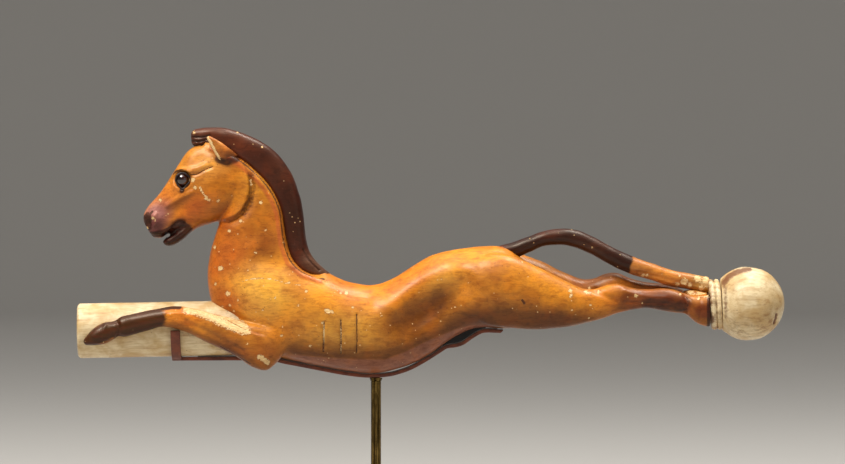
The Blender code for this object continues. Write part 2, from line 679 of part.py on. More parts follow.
def make_hind_legs(figure, knob_dowel_hole):
    """Both hind legs below the thigh, their dowels, and the thighs that the body takes in."""
    thighs, cutters = [], []
    for side in (-1, 1):
        name = side_name(side)
        rows = section_rows(HIND_LEG, side, lifted=side > 0)
        point, direction = hind_axis(rows)
        thigh = cut_flat(loft(rows, 14), point - direction * JOINT_GAP / 2, direction)
        thighs.append(add_object(f"thigh_{name}", thigh, figure))
        leg = cut_flat(loft(rows, 14), point + direction * JOINT_GAP / 2, -direction)
        leg = add_object(f"hind_leg_{name}", cut_flat(leg, hoof_plane(), collar_axis()), figure)
        half = direction * HIND_DOWEL_LENGTH / 2
        add_object(f"hind_dowel_{name}", between(point - half, point + half, HIND_DOWEL_RADIUS, 12), figure)
        half += direction * JOINT_GAP
        hole = between(point - half, point + half, HIND_DOWEL_RADIUS + JOINT_GAP, 12)
        hole = add_object(f"hind_dowel_hole_{name}", hole, figure)
        boolean(leg, hole, "DIFFERENCE")
        boolean(leg, knob_dowel_hole, "DIFFERENCE")
        cutters.append(hole)
    return thighs, cutters


def make_tail(figure):
    """The tail in two lengths with a dowel between them."""
    rows = section_rows(TAIL)
    middle = [((row[0] + row[2]) / 2, (row[1] + row[3]) / 2) for row in rows]
    here = Vector((TAIL_SPLIT, 0, height_on(middle, TAIL_SPLIT)))
    ahead = Vector((TAIL_SPLIT + 1, 0, height_on(middle, TAIL_SPLIT + 1)))
    direction = (ahead - here).normalized()
    upper = cut_flat(loft(rows, 12), here - direction * JOINT_GAP / 2, direction)
    lower = cut_flat(loft(rows, 12), here + direction * JOINT_GAP / 2, -direction)
    lower = cut_flat(lower, hoof_plane(), collar_axis())
    half = direction * TAIL_DOWEL_LENGTH / 2
    add_object("tail_dowel", between(here - half, here + half, TAIL_DOWEL_RADIUS, 12), figure)
    half += direction * JOINT_GAP
    hole = between(here - half, here + half, TAIL_DOWEL_RADIUS + JOINT_GAP, 12)
    hole = add_object("tail_dowel_hole", hole, figure)
    boolean(add_object("tail_upper", upper, figure), hole, "DIFFERENCE")
    boolean(add_object("tail_lower", lower, figure), hole, "DIFFERENCE")
    root = grown(rows, JOINT_GAP)[:5]
    return add_object("tail_root_seat", loft(root, 12), figure)


def make_knob(figure):
    """The collar with its two beads, the round knob behind it and the dowel through both."""
    half = COLLAR_THICKNESS / 2
    waist = COLLAR_RADIUS - COLLAR_BEAD
    bead = [(waist, -half)]
    for middle in (-half / 2, half / 2):
        for step in range(1, 4):
            angle = math.pi * step / 4
            bead.append((waist + COLLAR_BEAD * math.sin(angle), middle - half / 2 * math.cos(angle)))
        bead.append((waist, middle + half / 2))
    collar = add_object("collar_ring", turned([(0, -half), *bead, (0, half)], collar_placing(), 28), figure)
    face = half + JOINT_GAP
    seat_radius = COLLAR_RADIUS + JOINT_GAP
    sink = math.sqrt(KNOB_RADIUS**2 - seat_radius**2)
    profile = [(0, face), (seat_radius, face)]
    first = math.atan2(seat_radius, -sink)
    for step in range(1, 12):
        angle = first * (1 - step / 11)
        profile.append((KNOB_RADIUS * math.sin(angle), face + sink + KNOB_RADIUS * math.cos(angle)))
    profile[-1] = (0, face + sink + KNOB_RADIUS)
    knob = add_object("knob_ball", turned(profile, collar_placing(), 28), figure)
    start = collar_placing(-half - JOINT_GAP - KNOB_DOWEL_HOOF).translation
    end = collar_placing(face + KNOB_DOWEL_DEPTH).translation
    add_object("knob_dowel", between(start, end, KNOB_DOWEL_RADIUS, 16), figure)
    clear = collar_axis() * JOINT_GAP
    hole = between(start - clear, end + clear, KNOB_DOWEL_RADIUS + JOINT_GAP, 16)
    hole = add_object("knob_dowel_hole", hole, figure)
    boolean(collar, hole, "DIFFERENCE")
    boolean(knob, hole, "DIFFERENCE")
    return hole


def make_body(figure, thighs, cutters):
    """Torso, neck, head and thighs carved in one, with a seat for each piece let into them."""
    body = add_object("horse_body", loft(section_rows(TORSO), 20, 2), figure)
    head = add_object("head_block", loft(section_rows(HEAD), 16), figure)
    jaw = add_object("lower_jaw_block", loft(section_rows(LOWER_JAW), 10), figure)
    for piece in [head, jaw, *thighs]:
        boolean(body, piece, "UNION")
    for cutter in cutters:
        boolean(body, cutter, "DIFFERENCE")


def give_finishes():
    stained = ["horse_body", "foreleg_left", "foreleg_right", "hind_leg_left", "hind_leg_right",
               "ear_left", "ear_right", "tail_lower"]
    for name in stained:
        finish(name, "stained_ivory", (0.58, 0.26, 0.07), 0.32)
    for name in ("mane", "tail_upper"):
        finish(name, "dark_stain", (0.09, 0.035, 0.025), 0.35)
    for name in ("handle_cylinder", "collar_ring", "knob_ball"):
        finish(name, "bare_ivory", (0.68, 0.55, 0.36), 0.38)
    for name in ("foreleg_pin", "handle_dowel", "hind_dowel_left", "hind_dowel_right", "tail_dowel", "knob_dowel"):
        finish(name, "dowel_wood", (0.35, 0.22, 0.11), 0.7)
    for side in ("left", "right"):
        finish(f"eye_{side}", "garnet", (0.06, 0.006, 0.008), 0.08)
        finish(f"eye_rim_{side}", "black_paste", (0.015, 0.011, 0.01), 0.5)
        finish(f"clip_{side}", "cradle_paint", (0.13, 0.045, 0.025), 0.45)
    finish("cradle_rail", "cradle_paint", (0.13, 0.045, 0.025), 0.45)
    finish("rail_liner", "grey_felt", (0.2, 0.18, 0.17), 0.9)
    finish("flank_pad", "black_felt", (0.01, 0.01, 0.01), 0.9)
    for name in ("rod", "thrust_washer", "pivot_bush"):
        finish(name, "brass", (0.55, 0.42, 0.18), 0.25, 1.0)


def main():
    clear_scene()
    make_stand()
    figure = bpy.data.objects.new("figure", None)
    bpy.context.scene.collection.objects.link(figure)
    figure.location = (0, 0, (ROD_LENGTH + WASHER_THICKNESS + RUNNING_GAP - bush_foot()) * MM)
    make_cradle(figure)
    handle_cutters = make_handle(figure)
    mane_groove = make_mane(figure)
    seats = [*handle_cutters, mane_groove, *make_ears(figure), *make_eyes(figure)]
    seats += make_forelegs(figure, handle_cutters[0])
    thighs, hind_holes = make_hind_legs(figure, make_knob(figure))
    seats += [*hind_holes, make_tail(figure)]
    make_body(figure, thighs, seats)
    give_finishes()


main()
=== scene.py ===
import math

import bmesh
import bpy
import numpy as np
from mathutils import Matrix, Vector


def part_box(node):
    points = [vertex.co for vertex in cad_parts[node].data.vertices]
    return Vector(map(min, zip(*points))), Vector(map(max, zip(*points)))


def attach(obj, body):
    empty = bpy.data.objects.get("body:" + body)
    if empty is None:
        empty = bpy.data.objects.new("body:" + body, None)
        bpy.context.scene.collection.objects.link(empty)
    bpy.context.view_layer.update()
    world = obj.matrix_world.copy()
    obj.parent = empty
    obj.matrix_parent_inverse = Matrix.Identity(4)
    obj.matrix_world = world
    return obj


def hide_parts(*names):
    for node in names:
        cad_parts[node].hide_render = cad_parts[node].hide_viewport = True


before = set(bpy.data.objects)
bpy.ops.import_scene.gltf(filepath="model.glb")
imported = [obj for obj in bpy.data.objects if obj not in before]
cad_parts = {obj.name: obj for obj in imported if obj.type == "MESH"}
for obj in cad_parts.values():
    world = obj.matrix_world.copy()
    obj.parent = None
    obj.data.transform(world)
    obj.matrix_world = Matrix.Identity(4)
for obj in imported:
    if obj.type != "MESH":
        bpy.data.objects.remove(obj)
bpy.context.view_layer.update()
print("frame loaded")

# Lengths below are millimetres in the figure's own frame: X along the horse with its head at -X,
# Z up from just under the rail, the left side at -Y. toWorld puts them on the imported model.
mm = 0.001
bushFoot = -0.3
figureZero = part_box("pivot_bush")[0][2] - bushFoot * mm
toWorld = Matrix.Translation((0, 0, figureZero)) @ Matrix.Scale(mm, 4)


def catmullRom(before, start, end, after, share):
    return 0.5 * (2 * start + (end - before) * share
                  + (2 * before - 5 * start + 4 * end - after) * share ** 2
                  + (3 * start - before - 3 * end + after) * share ** 3)


def refined(rows, steps):
    found = []
    for i in range(len(rows) - 1):
        four = rows[max(i - 1, 0)], rows[i], rows[i + 1], rows[min(i + 2, len(rows) - 1)]
        for step in range(steps):
            found.append([catmullRom(*values, step / steps) for values in zip(*four)])
    return found + [list(rows[-1])]


def rowsOf(sections, side=1, outwards=0.0, lifted=False, grow=0.0):
    # a section is (upper point, lower point, half width), then in limbs the middle's offset and, in the
    # hind legs, how much higher the right side is
    rows = []
    for upper, lower, width, *rest in sections:
        lift = rest[1] if lifted else 0.0
        middle = (rest[0] + outwards) * side if rest else 0.0
        across = (Vector(upper) - Vector(lower)).normalized() * grow
        rows.append([upper[0] + across.x, upper[1] + lift + across.y,
                     lower[0] - across.x, lower[1] + lift - across.y, width + grow, middle])
    return rows


def ringEdges(bm, ring):
    members = set(ring)
    return [e for e in bm.edges if e.verts[0] in members and e.verts[1] in members]


def joinRings(bm, rings):
    # rings of edges, one after another, become a closed skin
    for first, second in zip(rings, rings[1:]):
        bmesh.ops.bridge_loops(bm, edges=first + second)
    for ring in (rings[0], rings[-1]):
        bmesh.ops.edgeloop_fill(bm, edges=ring)
    bmesh.ops.recalc_face_normals(bm, faces=bm.faces)


def loft(bm, rows, sides, steps, square, pear=0.0):
    # square above 2 flattens the flanks, pear below 0 widens the lower half
    rings = []
    for upperX, upperZ, lowerX, lowerZ, width, middle in refined(rows, steps):
        upper, lower = Vector((upperX, middle, upperZ)), Vector((lowerX, middle, lowerZ))
        half, centre = (upper - lower) / 2, (upper + lower) / 2
        ring = bmesh.ops.create_circle(bm, segments=sides, radius=1)["verts"]
        for v in ring:
            across = math.copysign(abs(v.co.x) ** (2 / square), v.co.x)
            up = math.copysign(abs(v.co.y) ** (2 / square), v.co.y)
            v.co = centre + half * up + Vector((0, width * across * (1 + pear * up), 0))
        rings.append(ringEdges(bm, ring))
    joinRings(bm, rings)


def looseObject(name, bm):
    mesh = bpy.data.meshes.new(name)
    bm.to_mesh(mesh)
    bm.free()
    obj = bpy.data.objects.new(name, mesh)
    bpy.context.scene.collection.objects.link(obj)
    return obj


def evaluatedMesh(obj):
    found = bpy.data.meshes.new_from_object(obj.evaluated_get(bpy.context.evaluated_depsgraph_get()))
    old = obj.data
    obj.modifiers.clear()
    obj.data = found
    bpy.data.meshes.remove(old)


def fusedObject(name, bm, voxel, smoothing):
    # several closed lofts in one mesh become one skin
    obj = looseObject(name, bm)
    remesh = obj.modifiers.new("skin", "REMESH")
    remesh.mode = "VOXEL"
    remesh.voxel_size = voxel
    remesh.adaptivity = 0
    smooth = obj.modifiers.new("soften", "SMOOTH")
    smooth.factor = 0.5
    smooth.iterations = smoothing
    evaluatedMesh(obj)
    return obj


def turnedMesh(bm, profile, sides, centre=Vector((0, 0, 0)), axis=Vector((0, 0, 1))):
    # the profile is (radius, height along the axis) points
    placing = Matrix.Translation(centre) @ axis.to_track_quat("Z", "X").to_matrix().to_4x4()
    points = [bm.verts.new(placing @ Vector((radius, 0, height))) for radius, height in profile]
    edges = [bm.edges.new(pair) for pair in zip(points, points[1:])]
    bmesh.ops.spin(bm, geom=points + edges, cent=centre, axis=placing.to_3x3() @ Vector((0, 0, 1)),
                   angle=2 * math.pi, steps=sides, use_merge=True)
    bmesh.ops.remove_doubles(bm, verts=bm.verts, dist=2e-3)
    bmesh.ops.recalc_face_normals(bm, faces=bm.faces)


def arcPoints(centre, radius, start, end, steps):
    found = []
    for i in range(steps + 1):
        angle = math.radians(start + (end - start) * i / steps)
        found.append((centre[0] + radius * math.cos(angle), centre[1] + radius * math.sin(angle)))
    return found


class Surface:
    # vertex places and normals of a piece as arrays, for strokes of the knife

    def __init__(self, obj):
        self.mesh = obj.data
        count = len(self.mesh.vertices)
        self.place = np.empty(count * 3)
        self.mesh.vertices.foreach_get("co", self.place)
        self.place = self.place.reshape(-1, 3)
        self.readNormals()

    def readNormals(self):
        self.normal = np.empty(len(self.place) * 3)
        self.mesh.vertex_normals.foreach_get("vector", self.normal)
        self.normal = self.normal.reshape(-1, 3)

    def write(self):
        self.mesh.vertices.foreach_set("co", self.place.ravel())
        self.mesh.update()
        self.readNormals()

    def fieldAt(self, x, z, radius, stretch=1.0, turn=0.0):
        # 1 at a point of the side view, falling to 0 at the radius
        c, s = math.cos(math.radians(turn)), math.sin(math.radians(turn))
        dx, dz = self.place[:, 0] - x, self.place[:, 2] - z
        along, across = (dx * c + dz * s) / stretch, -dx * s + dz * c
        return softEdge(1 - np.sqrt(along ** 2 + across ** 2) / radius)

    def fieldAlong(self, points, radius):
        # the same for a line of points
        return softEdge(1 - self.distance(points)[0] / radius)

    def coneAt(self, x, z, reach):
        # straight cone of 1 in the middle and 0.5 at the reach, for edges drawn by the finish
        return np.clip(1 - np.hypot(self.place[:, 0] - x, self.place[:, 2] - z) / (2 * reach), 0, 1)

    def distance(self, points):
        # how far each vertex is from a line of the side view, on which side, and how far along
        near = np.full(len(self.place), 1e9)
        side, along = np.zeros(len(self.place)), np.zeros(len(self.place))
        for i, ((x0, z0), (x1, z1)) in enumerate(zip(points, points[1:])):
            run = np.array((x1 - x0, z1 - z0))
            offset = self.place[:, (0, 2)] - (x0, z0)
            share = np.clip(offset @ run / (run @ run), 0, 1)
            gap = np.linalg.norm(offset - share[:, None] * run, axis=1)
            closer = gap < near
            near = np.where(closer, gap, near)
            side = np.where(closer, run[0] * offset[:, 1] - run[1] * offset[:, 0], side)
            along = np.where(closer, (i + share) / (len(points) - 1), along)
        return near, side, along

    def coneAlong(self, points, reach):
        return np.clip(1 - self.distance(points)[0] / (2 * reach), 0, 1)

    def step(self, points, raised, lowered, reach):
        # the left hand side of the line is raised, the other side lowered, with a crisp edge between
        near, side, along = self.distance(points)
        ends = softEdge(along / 0.18) * softEdge((1 - along) / 0.18)
        fade = np.clip(1 - near / reach, 0, 1) ** 2 * ends
        crisp = np.tanh(near / 0.2)
        self.push(fade * np.where(side > 0, raised, lowered) * crisp, 1.0)

    def relax(self, field, rounds):
        # each vertex drifts to the middle of its neighbours where the field is above 0
        ends = np.empty(len(self.mesh.edges) * 2, dtype=np.int32)
        self.mesh.edges.foreach_get("vertices", ends)
        first, second = ends.reshape(-1, 2).T
        count = np.bincount(ends, minlength=len(self.place))[:, None]
        for _ in range(rounds):
            total = np.stack([np.bincount(first, self.place[second, k], len(self.place))
                              + np.bincount(second, self.place[first, k], len(self.place))
                              for k in range(3)], axis=1)
            self.place += (total / count - self.place) * field[:, None]

    def push(self, field, amount, outer=0.25):
        # along the normal, where the skin faces sideways more than outer
        facing = softEdge((np.abs(self.normal[:, 1]) - outer) / 0.3)
        self.place += self.normal * (field * facing * amount)[:, None]


def softEdge(share):
    share = np.clip(share, 0, 1)
    return share * share * (3 - 2 * share)


def curvePoints(points, steps=4):
    return [tuple(p) for p in refined([list(p) for p in points], steps)]


def seededWaves(places, size, seed):
    # smooth wandering field between about -1 and 1, the same in each run
    count = 24
    chance = np.random.default_rng(seed)
    total = np.zeros(len(places))
    for _ in range(count):
        direction = chance.normal(size=3)
        direction *= (2 * math.pi / size) / np.linalg.norm(direction) * chance.uniform(0.6, 1.6)
        total += np.sin(places @ direction + chance.uniform(0, 2 * math.pi))
    return total / math.sqrt(count)


def writeValue(mesh, name, values):
    layer = mesh.attributes.new(name, "FLOAT", "POINT")
    layer.data.foreach_set("value", np.ascontiguousarray(values, dtype=np.float32))


def writeColour(mesh, name, colours):
    layer = mesh.attributes.new(name, "FLOAT_COLOR", "POINT")
    four = np.ones((len(colours), 4), dtype=np.float32)
    four[:, :3] = colours
    layer.data.foreach_set("color", four.ravel())


def linear(red, green, blue):
    # display colour of 0 to 255 as the linear values that shaders use, by the sRGB curve
    found = []
    for value in (red, green, blue):
        share = value / 255
        found.append(share / 12.92 if share <= 0.04045 else ((share + 0.055) / 1.055) ** 2.4)
    return np.array(found)


class Value:
    # a socket that can be added, subtracted and multiplied like a number

    def __init__(self, finish, socket):
        self.finish, self.socket = finish, socket

    def maths(self, operation, *others):
        node = self.finish.node("ShaderNodeMath", {"operation": operation}, (self, *others))
        return Value(self.finish, node.outputs[0])

    def __add__(self, other):
        return self.maths("ADD", other)

    def __sub__(self, other):
        return self.maths("SUBTRACT", other)

    def __rsub__(self, other):
        node = self.finish.node("ShaderNodeMath", {"operation": "SUBTRACT"}, (other, self))
        return Value(self.finish, node.outputs[0])

    def __mul__(self, other):
        return self.maths("MULTIPLY", other)

    __radd__ = __add__
    __rmul__ = __mul__

    def above(self, edge, width):
        # 0 below the edge, 1 above it, with a ramp as wide as width
        node = self.finish.node("ShaderNodeMapRange", {"interpolation_type": "SMOOTHSTEP"},
                                {"Value": self, "From Min": edge - width / 2, "From Max": edge + width / 2})
        return Value(self.finish, node.outputs[0])


class Finish:
    def __init__(self, name):
        self.material = bpy.data.materials.new(name)
        self.material.use_nodes = True
        self.tree = self.material.node_tree
        self.shader = self.tree.nodes["Principled BSDF"]
        self.object = Value(self, self.node("ShaderNodeTexCoord", {}, {}).outputs["Object"])

    def node(self, kind, settings, inputs):
        node = self.tree.nodes.new(kind)
        for key, setting in settings.items():
            setattr(node, key, setting)
        pairs = inputs.items() if isinstance(inputs, dict) else enumerate(inputs)
        for key, given in pairs:
            self.connect(node.inputs[key], given)
        return node

    def connect(self, socket, given):
        if isinstance(given, Value):
            self.tree.links.new(given.socket, socket)
        else:
            socket.default_value = given

    def stretched(self, scale, turn=(0, 0, 0)):
        node = self.node("ShaderNodeMapping", {}, {"Vector": self.object, "Scale": scale, "Rotation": turn})
        return Value(self, node.outputs[0])

    def noise(self, scale, detail=3.0, rough=0.5, warp=0.0, stretch=(1, 1, 1), turn=(0, 0, 0)):
        node = self.node("ShaderNodeTexNoise", {}, {
            "Vector": self.stretched(tuple(scale * s / mm for s in stretch), turn),
            "Scale": 1.0, "Detail": detail, "Roughness": rough, "Distortion": warp})
        return Value(self, node.outputs["Fac"])

    def cells(self, scale):
        place = self.stretched((scale / mm,) * 3)
        node = self.node("ShaderNodeTexVoronoi", {}, {"Vector": place, "Scale": 1.0})
        return Value(self, node.outputs["Distance"])

    def attribute(self, name, output="Fac"):
        return Value(self, self.node("ShaderNodeAttribute", {"attribute_name": name}, {}).outputs[output])

    def mixed(self, factor, first, second, blend="MIX"):
        # the colour inputs of this node are its sockets 6 and 7, and its colour output is socket 2
        settings = {"data_type": "RGBA", "blend_type": blend, "clamp_factor": True}
        node = self.node("ShaderNodeMix", settings, {})
        self.connect(node.inputs["Factor"], factor)
        self.connect(node.inputs[6], first if isinstance(first, Value) else (*first, 1))
        self.connect(node.inputs[7], second if isinstance(second, Value) else (*second, 1))
        return Value(self, node.outputs[2])

    def bump(self, height, depth, strength):
        inputs = {"Height": height, "Distance": depth * mm, "Strength": strength}
        node = self.node("ShaderNodeBump", {}, inputs)
        self.tree.links.new(node.outputs[0], self.shader.inputs["Normal"])

    def set(self, **sockets):
        for key, given in sockets.items():
            socket = self.shader.inputs[key.replace("_", " ")]
            if isinstance(given, (tuple, np.ndarray)):
                given = (*given, 1)
            self.connect(socket, given)


def carvedIvory():
    # stained and waxed ivory: the colour is painted on the piece, with painted highlights and shade in it,
    # the grain and wear come on top
    finish = Finish("carvedIvory")
    stain = finish.attribute("stain", "Color")
    worn = finish.attribute("worn")
    sooty = finish.attribute("sooty")
    scored = finish.attribute("scored")
    cloud = finish.noise(0.22, 4, 0.6, 0.3)
    mottle = finish.noise(0.8, 5, 0.65, 0.4, (0.6, 1, 1.2))
    grain = finish.noise(2.2, 4, 0.6, 0.2, (0.14, 1, 1))
    fibre = finish.noise(8.0, 3, 0.6, 0, (0.08, 1, 1))
    colour = finish.mixed(cloud.above(0.54, 0.2) * 0.3, stain, linear(196, 128, 62), "MULTIPLY")
    colour = finish.mixed((1 - cloud).above(0.55, 0.2) * 0.35, colour, linear(255, 206, 120), "SOFT_LIGHT")
    colour = finish.mixed(mottle.above(0.57, 0.18) * 0.34, colour, linear(150, 92, 52), "MULTIPLY")
    colour = finish.mixed(grain.above(0.56, 0.18) * 0.24, colour, linear(166, 112, 72), "MULTIPLY")
    colour = finish.mixed(fibre.above(0.58, 0.16) * 0.2, colour, linear(140, 92, 60), "MULTIPLY")
    # dark stain with a ragged edge, which also serves as painted shadow at the ear's base, behind the jowl
    # and in the gap at the hoof's end
    darkness = (sooty + (mottle - 0.5) * 0.7 + (fibre - 0.5) * 0.3).above(0.5, 0.5)
    darkStainAndShadeColour = finish.mixed(grain.above(0.5, 0.25), linear(22, 3, 2), linear(54, 12, 8))
    colour = finish.mixed(darkness * 0.93, colour, darkStainAndShadeColour)
    # small dark pits, pale pricks and hair cracks all over
    pits = (1 - finish.cells(0.9)).above(0.9, 0.05) * finish.noise(0.3, 2).above(0.54, 0.06)
    colour = finish.mixed(pits * 0.7, colour, linear(74, 32, 16))
    pricks = (1 - finish.cells(0.8)).above(0.885, 0.04) * finish.noise(0.33, 3).above(0.56, 0.04)
    line = (scored + (finish.noise(1.6, 4, 0.7) - 0.5) * 0.6).above(0.48, 0.2)
    colour = finish.mixed(line * 0.86, colour, linear(58, 24, 14))
    # bare ivory where the stain has chipped off
    ragged = worn + (finish.noise(2.3, 4, 0.7) - 0.5) * 1.5 + (finish.noise(7, 2) - 0.5) * 0.5
    chips = ragged.above(0.55, 0.08) * worn.above(0.14, 0.1)
    bare = (chips + pricks * 0.85).maths("MINIMUM", 1.0)
    rim = (ragged.above(0.42, 0.12) - chips).maths("MAXIMUM", 0.0) * worn.above(0.14, 0.1)
    colour = finish.mixed(rim * 0.55, colour, linear(120, 66, 32))
    ivory = finish.mixed(fibre.above(0.5, 0.3), linear(238, 212, 158), linear(206, 160, 100))
    colour = finish.mixed(bare * 0.92, colour, ivory)
    finish.set(Base_Color=colour, Roughness=0.33 + mottle * 0.16 + bare * 0.2 + line * 0.2,
               Specular_IOR_Level=0.35, Specular_Tint=(1.0, 0.82, 0.64), Coat_Weight=0.1, Coat_Roughness=0.22)
    finish.bump(grain * 0.3 + fibre * 0.2 + mottle * 0.3 - bare * 0.9 - pits - line * 1.5, 0.07, 0.6)
    return finish.material


def bareIvory(name, turn, stretch):
    # undyed ivory: cream with close grain lines, honey stains and a few hair cracks
    finish = Finish(name)
    grimeAndShade = finish.attribute("grimeAndShade")
    cloud = finish.noise(0.2, 4, 0.55, 0.4)
    lines = finish.noise(1.1, 5, 0.6, 0.15, stretch, turn)
    fine = finish.noise(4.5, 3, 0.6, 0.1, stretch, turn)
    colour = finish.mixed(cloud.above(0.5, 0.3), linear(228, 208, 168), linear(198, 164, 110))
    colour = finish.mixed(lines.above(0.56, 0.16) * 0.42, colour, linear(172, 134, 84))
    colour = finish.mixed(fine.above(0.58, 0.14) * 0.3, colour, linear(160, 122, 76))
    streak = (lines * 0.6 + cloud * 0.4).above(0.6, 0.08)
    colour = finish.mixed(streak * 0.4, colour, linear(160, 106, 56))
    # brown where the attribute is high: real grime, and painted shade under the foreleg on the handle and on
    # the lower half of the knob
    soiledAndShaded = (grimeAndShade + (finish.noise(1.4, 5, 0.65) - 0.5) * 0.9 + (lines - 0.5) * 0.7).above(0.5, 0.5)
    colour = finish.mixed(soiledAndShaded * 0.85, colour, linear(106, 58, 32))
    specks = (1 - finish.cells(0.55)).above(0.93, 0.04) * cloud.above(0.5, 0.05)
    colour = finish.mixed(specks * 0.7, colour, linear(96, 60, 34))
    finish.set(Base_Color=colour, Roughness=0.36 + cloud * 0.14, Specular_IOR_Level=0.35, Coat_Weight=0.1,
               Coat_Roughness=0.3)
    finish.bump(lines * 0.5 + fine * 0.3 - specks, 0.05, 0.5)
    return finish.material


def garnet():
    finish = Finish("garnet")
    depth = finish.noise(0.6, 3, 0.5, 0.5)
    colour = finish.mixed(depth.above(0.5, 0.3), linear(14, 3, 3), linear(44, 9, 7))
    finish.set(Base_Color=colour, Roughness=0.05 + depth * 0.04, Specular_IOR_Level=0.8, Coat_Weight=1.0,
               Coat_Roughness=0.03)
    finish.bump(depth, 0.02, 0.3)
    return finish.material


def blackPaste():
    finish = Finish("blackPaste")
    lumps = finish.noise(2.6, 4, 0.6)
    colour = finish.mixed(lumps.above(0.55, 0.25), linear(26, 16, 14), linear(70, 38, 26))
    finish.set(Base_Color=colour, Roughness=0.32 + lumps * 0.3)
    finish.bump(lumps, 0.08, 0.6)
    return finish.material


def cradlePaint():
    # brown paint brushed on metal strip, worn to bright metal in pinpoints
    finish = Finish("cradlePaint")
    brushed = finish.noise(2.2, 4, 0.6, 0.1, (0.25, 1, 1))
    cloud = finish.noise(0.5, 4, 0.6)
    worn = (finish.noise(1.7, 5, 0.7) * 0.7 + brushed * 0.3).above(0.66, 0.05)
    colour = finish.mixed(cloud.above(0.5, 0.3), linear(118, 54, 26), linear(84, 35, 18))
    colour = finish.mixed(brushed.above(0.56, 0.25) * 0.45, colour, linear(140, 72, 38))
    colour = finish.mixed(worn * 0.7, colour, linear(140, 112, 84))
    finish.set(Base_Color=colour, Roughness=0.42 + cloud * 0.2, Metallic=worn * 0.6)
    finish.bump(brushed * 0.6 + cloud * 0.4 - worn * 0.5, 0.05, 0.6)
    return finish.material


def felt(name, dark, light):
    finish = Finish(name)
    fuzz = finish.noise(6.0, 5, 0.7)
    tufts = finish.noise(1.6, 4, 0.6)
    colour = finish.mixed(fuzz.above(0.5, 0.3), dark, light)
    colour = finish.mixed(tufts.above(0.55, 0.3) * 0.4, colour, dark)
    finish.set(Base_Color=colour, Roughness=0.85 + fuzz * 0.1, Sheen_Weight=0.3)
    finish.bump(fuzz * 0.7 + tufts * 0.3, 0.08, 0.8)
    return finish.material


def agedBrass():
    # drawn rod: fine lines along its length, their light and dark made strong, partly as painted reflection,
    # tarnish in the hollows of them
    finish = Finish("agedBrass")
    drawn = finish.noise(2.0, 4, 0.6, 0.0, (1, 1, 0.03))
    tarnish = finish.noise(0.7, 5, 0.65, 0.3, (1, 1, 0.35))
    spots = (1 - finish.cells(0.9)).above(0.9, 0.08) * tarnish.above(0.5, 0.1)
    colour = finish.mixed(drawn.above(0.5, 0.2), linear(30, 20, 6), linear(146, 118, 64))
    colour = finish.mixed(tarnish.above(0.5, 0.24) * 0.75, colour, linear(58, 44, 22))
    colour = finish.mixed(spots * 0.5, colour, linear(70, 56, 36))
    finish.set(Base_Color=colour, Metallic=1.0, Roughness=0.14 + drawn * 0.1 + tarnish * 0.14)
    finish.bump(drawn * 0.6 + tarnish * 0.2 - spots * 0.6, 0.03, 0.5)
    return finish.material


def dowelWood():
    finish = Finish("dowelWood")
    grain = finish.noise(2.0, 5, 0.6, 0.2, (0.2, 1, 1))
    colour = finish.mixed(grain.above(0.5, 0.35), linear(158, 118, 76), linear(112, 76, 44))
    finish.set(Base_Color=colour, Roughness=0.6 + grain * 0.15)
    finish.bump(grain, 0.05, 0.5)
    return finish.material


finishes = {
    "carved": carvedIvory(),
    "handleIvory": bareIvory("handleIvory", (0, 0, 0), (0.1, 1, 1)),
    "knobIvory": bareIvory("knobIvory", (0, math.radians(35), 0), (0.12, 1, 1)),
    "garnet": garnet(), "paste": blackPaste(), "paint": cradlePaint(),
    "liner": felt("greyFeltAndHighlight", linear(58, 52, 48), linear(108, 102, 96)),
    "pad": felt("blackFelt", linear(10, 10, 11), linear(24, 23, 24)),
    "brass": agedBrass(), "wood": dowelWood(),
}
print("finishes made")


def settle(obj, finish, body, slotName, *nodes, smoothAngle=None):
    # millimetres become metres in the frame, and the piece takes its finish and body
    obj.data.transform(toWorld)
    obj.data.materials.clear()
    obj.data.materials.append(finishes[finish])
    obj.data.shade_smooth()
    if smoothAngle:
        obj.data.set_sharp_from_angle(angle=math.radians(smoothAngle))
    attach(obj, body)
    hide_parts(*nodes)
    return obj


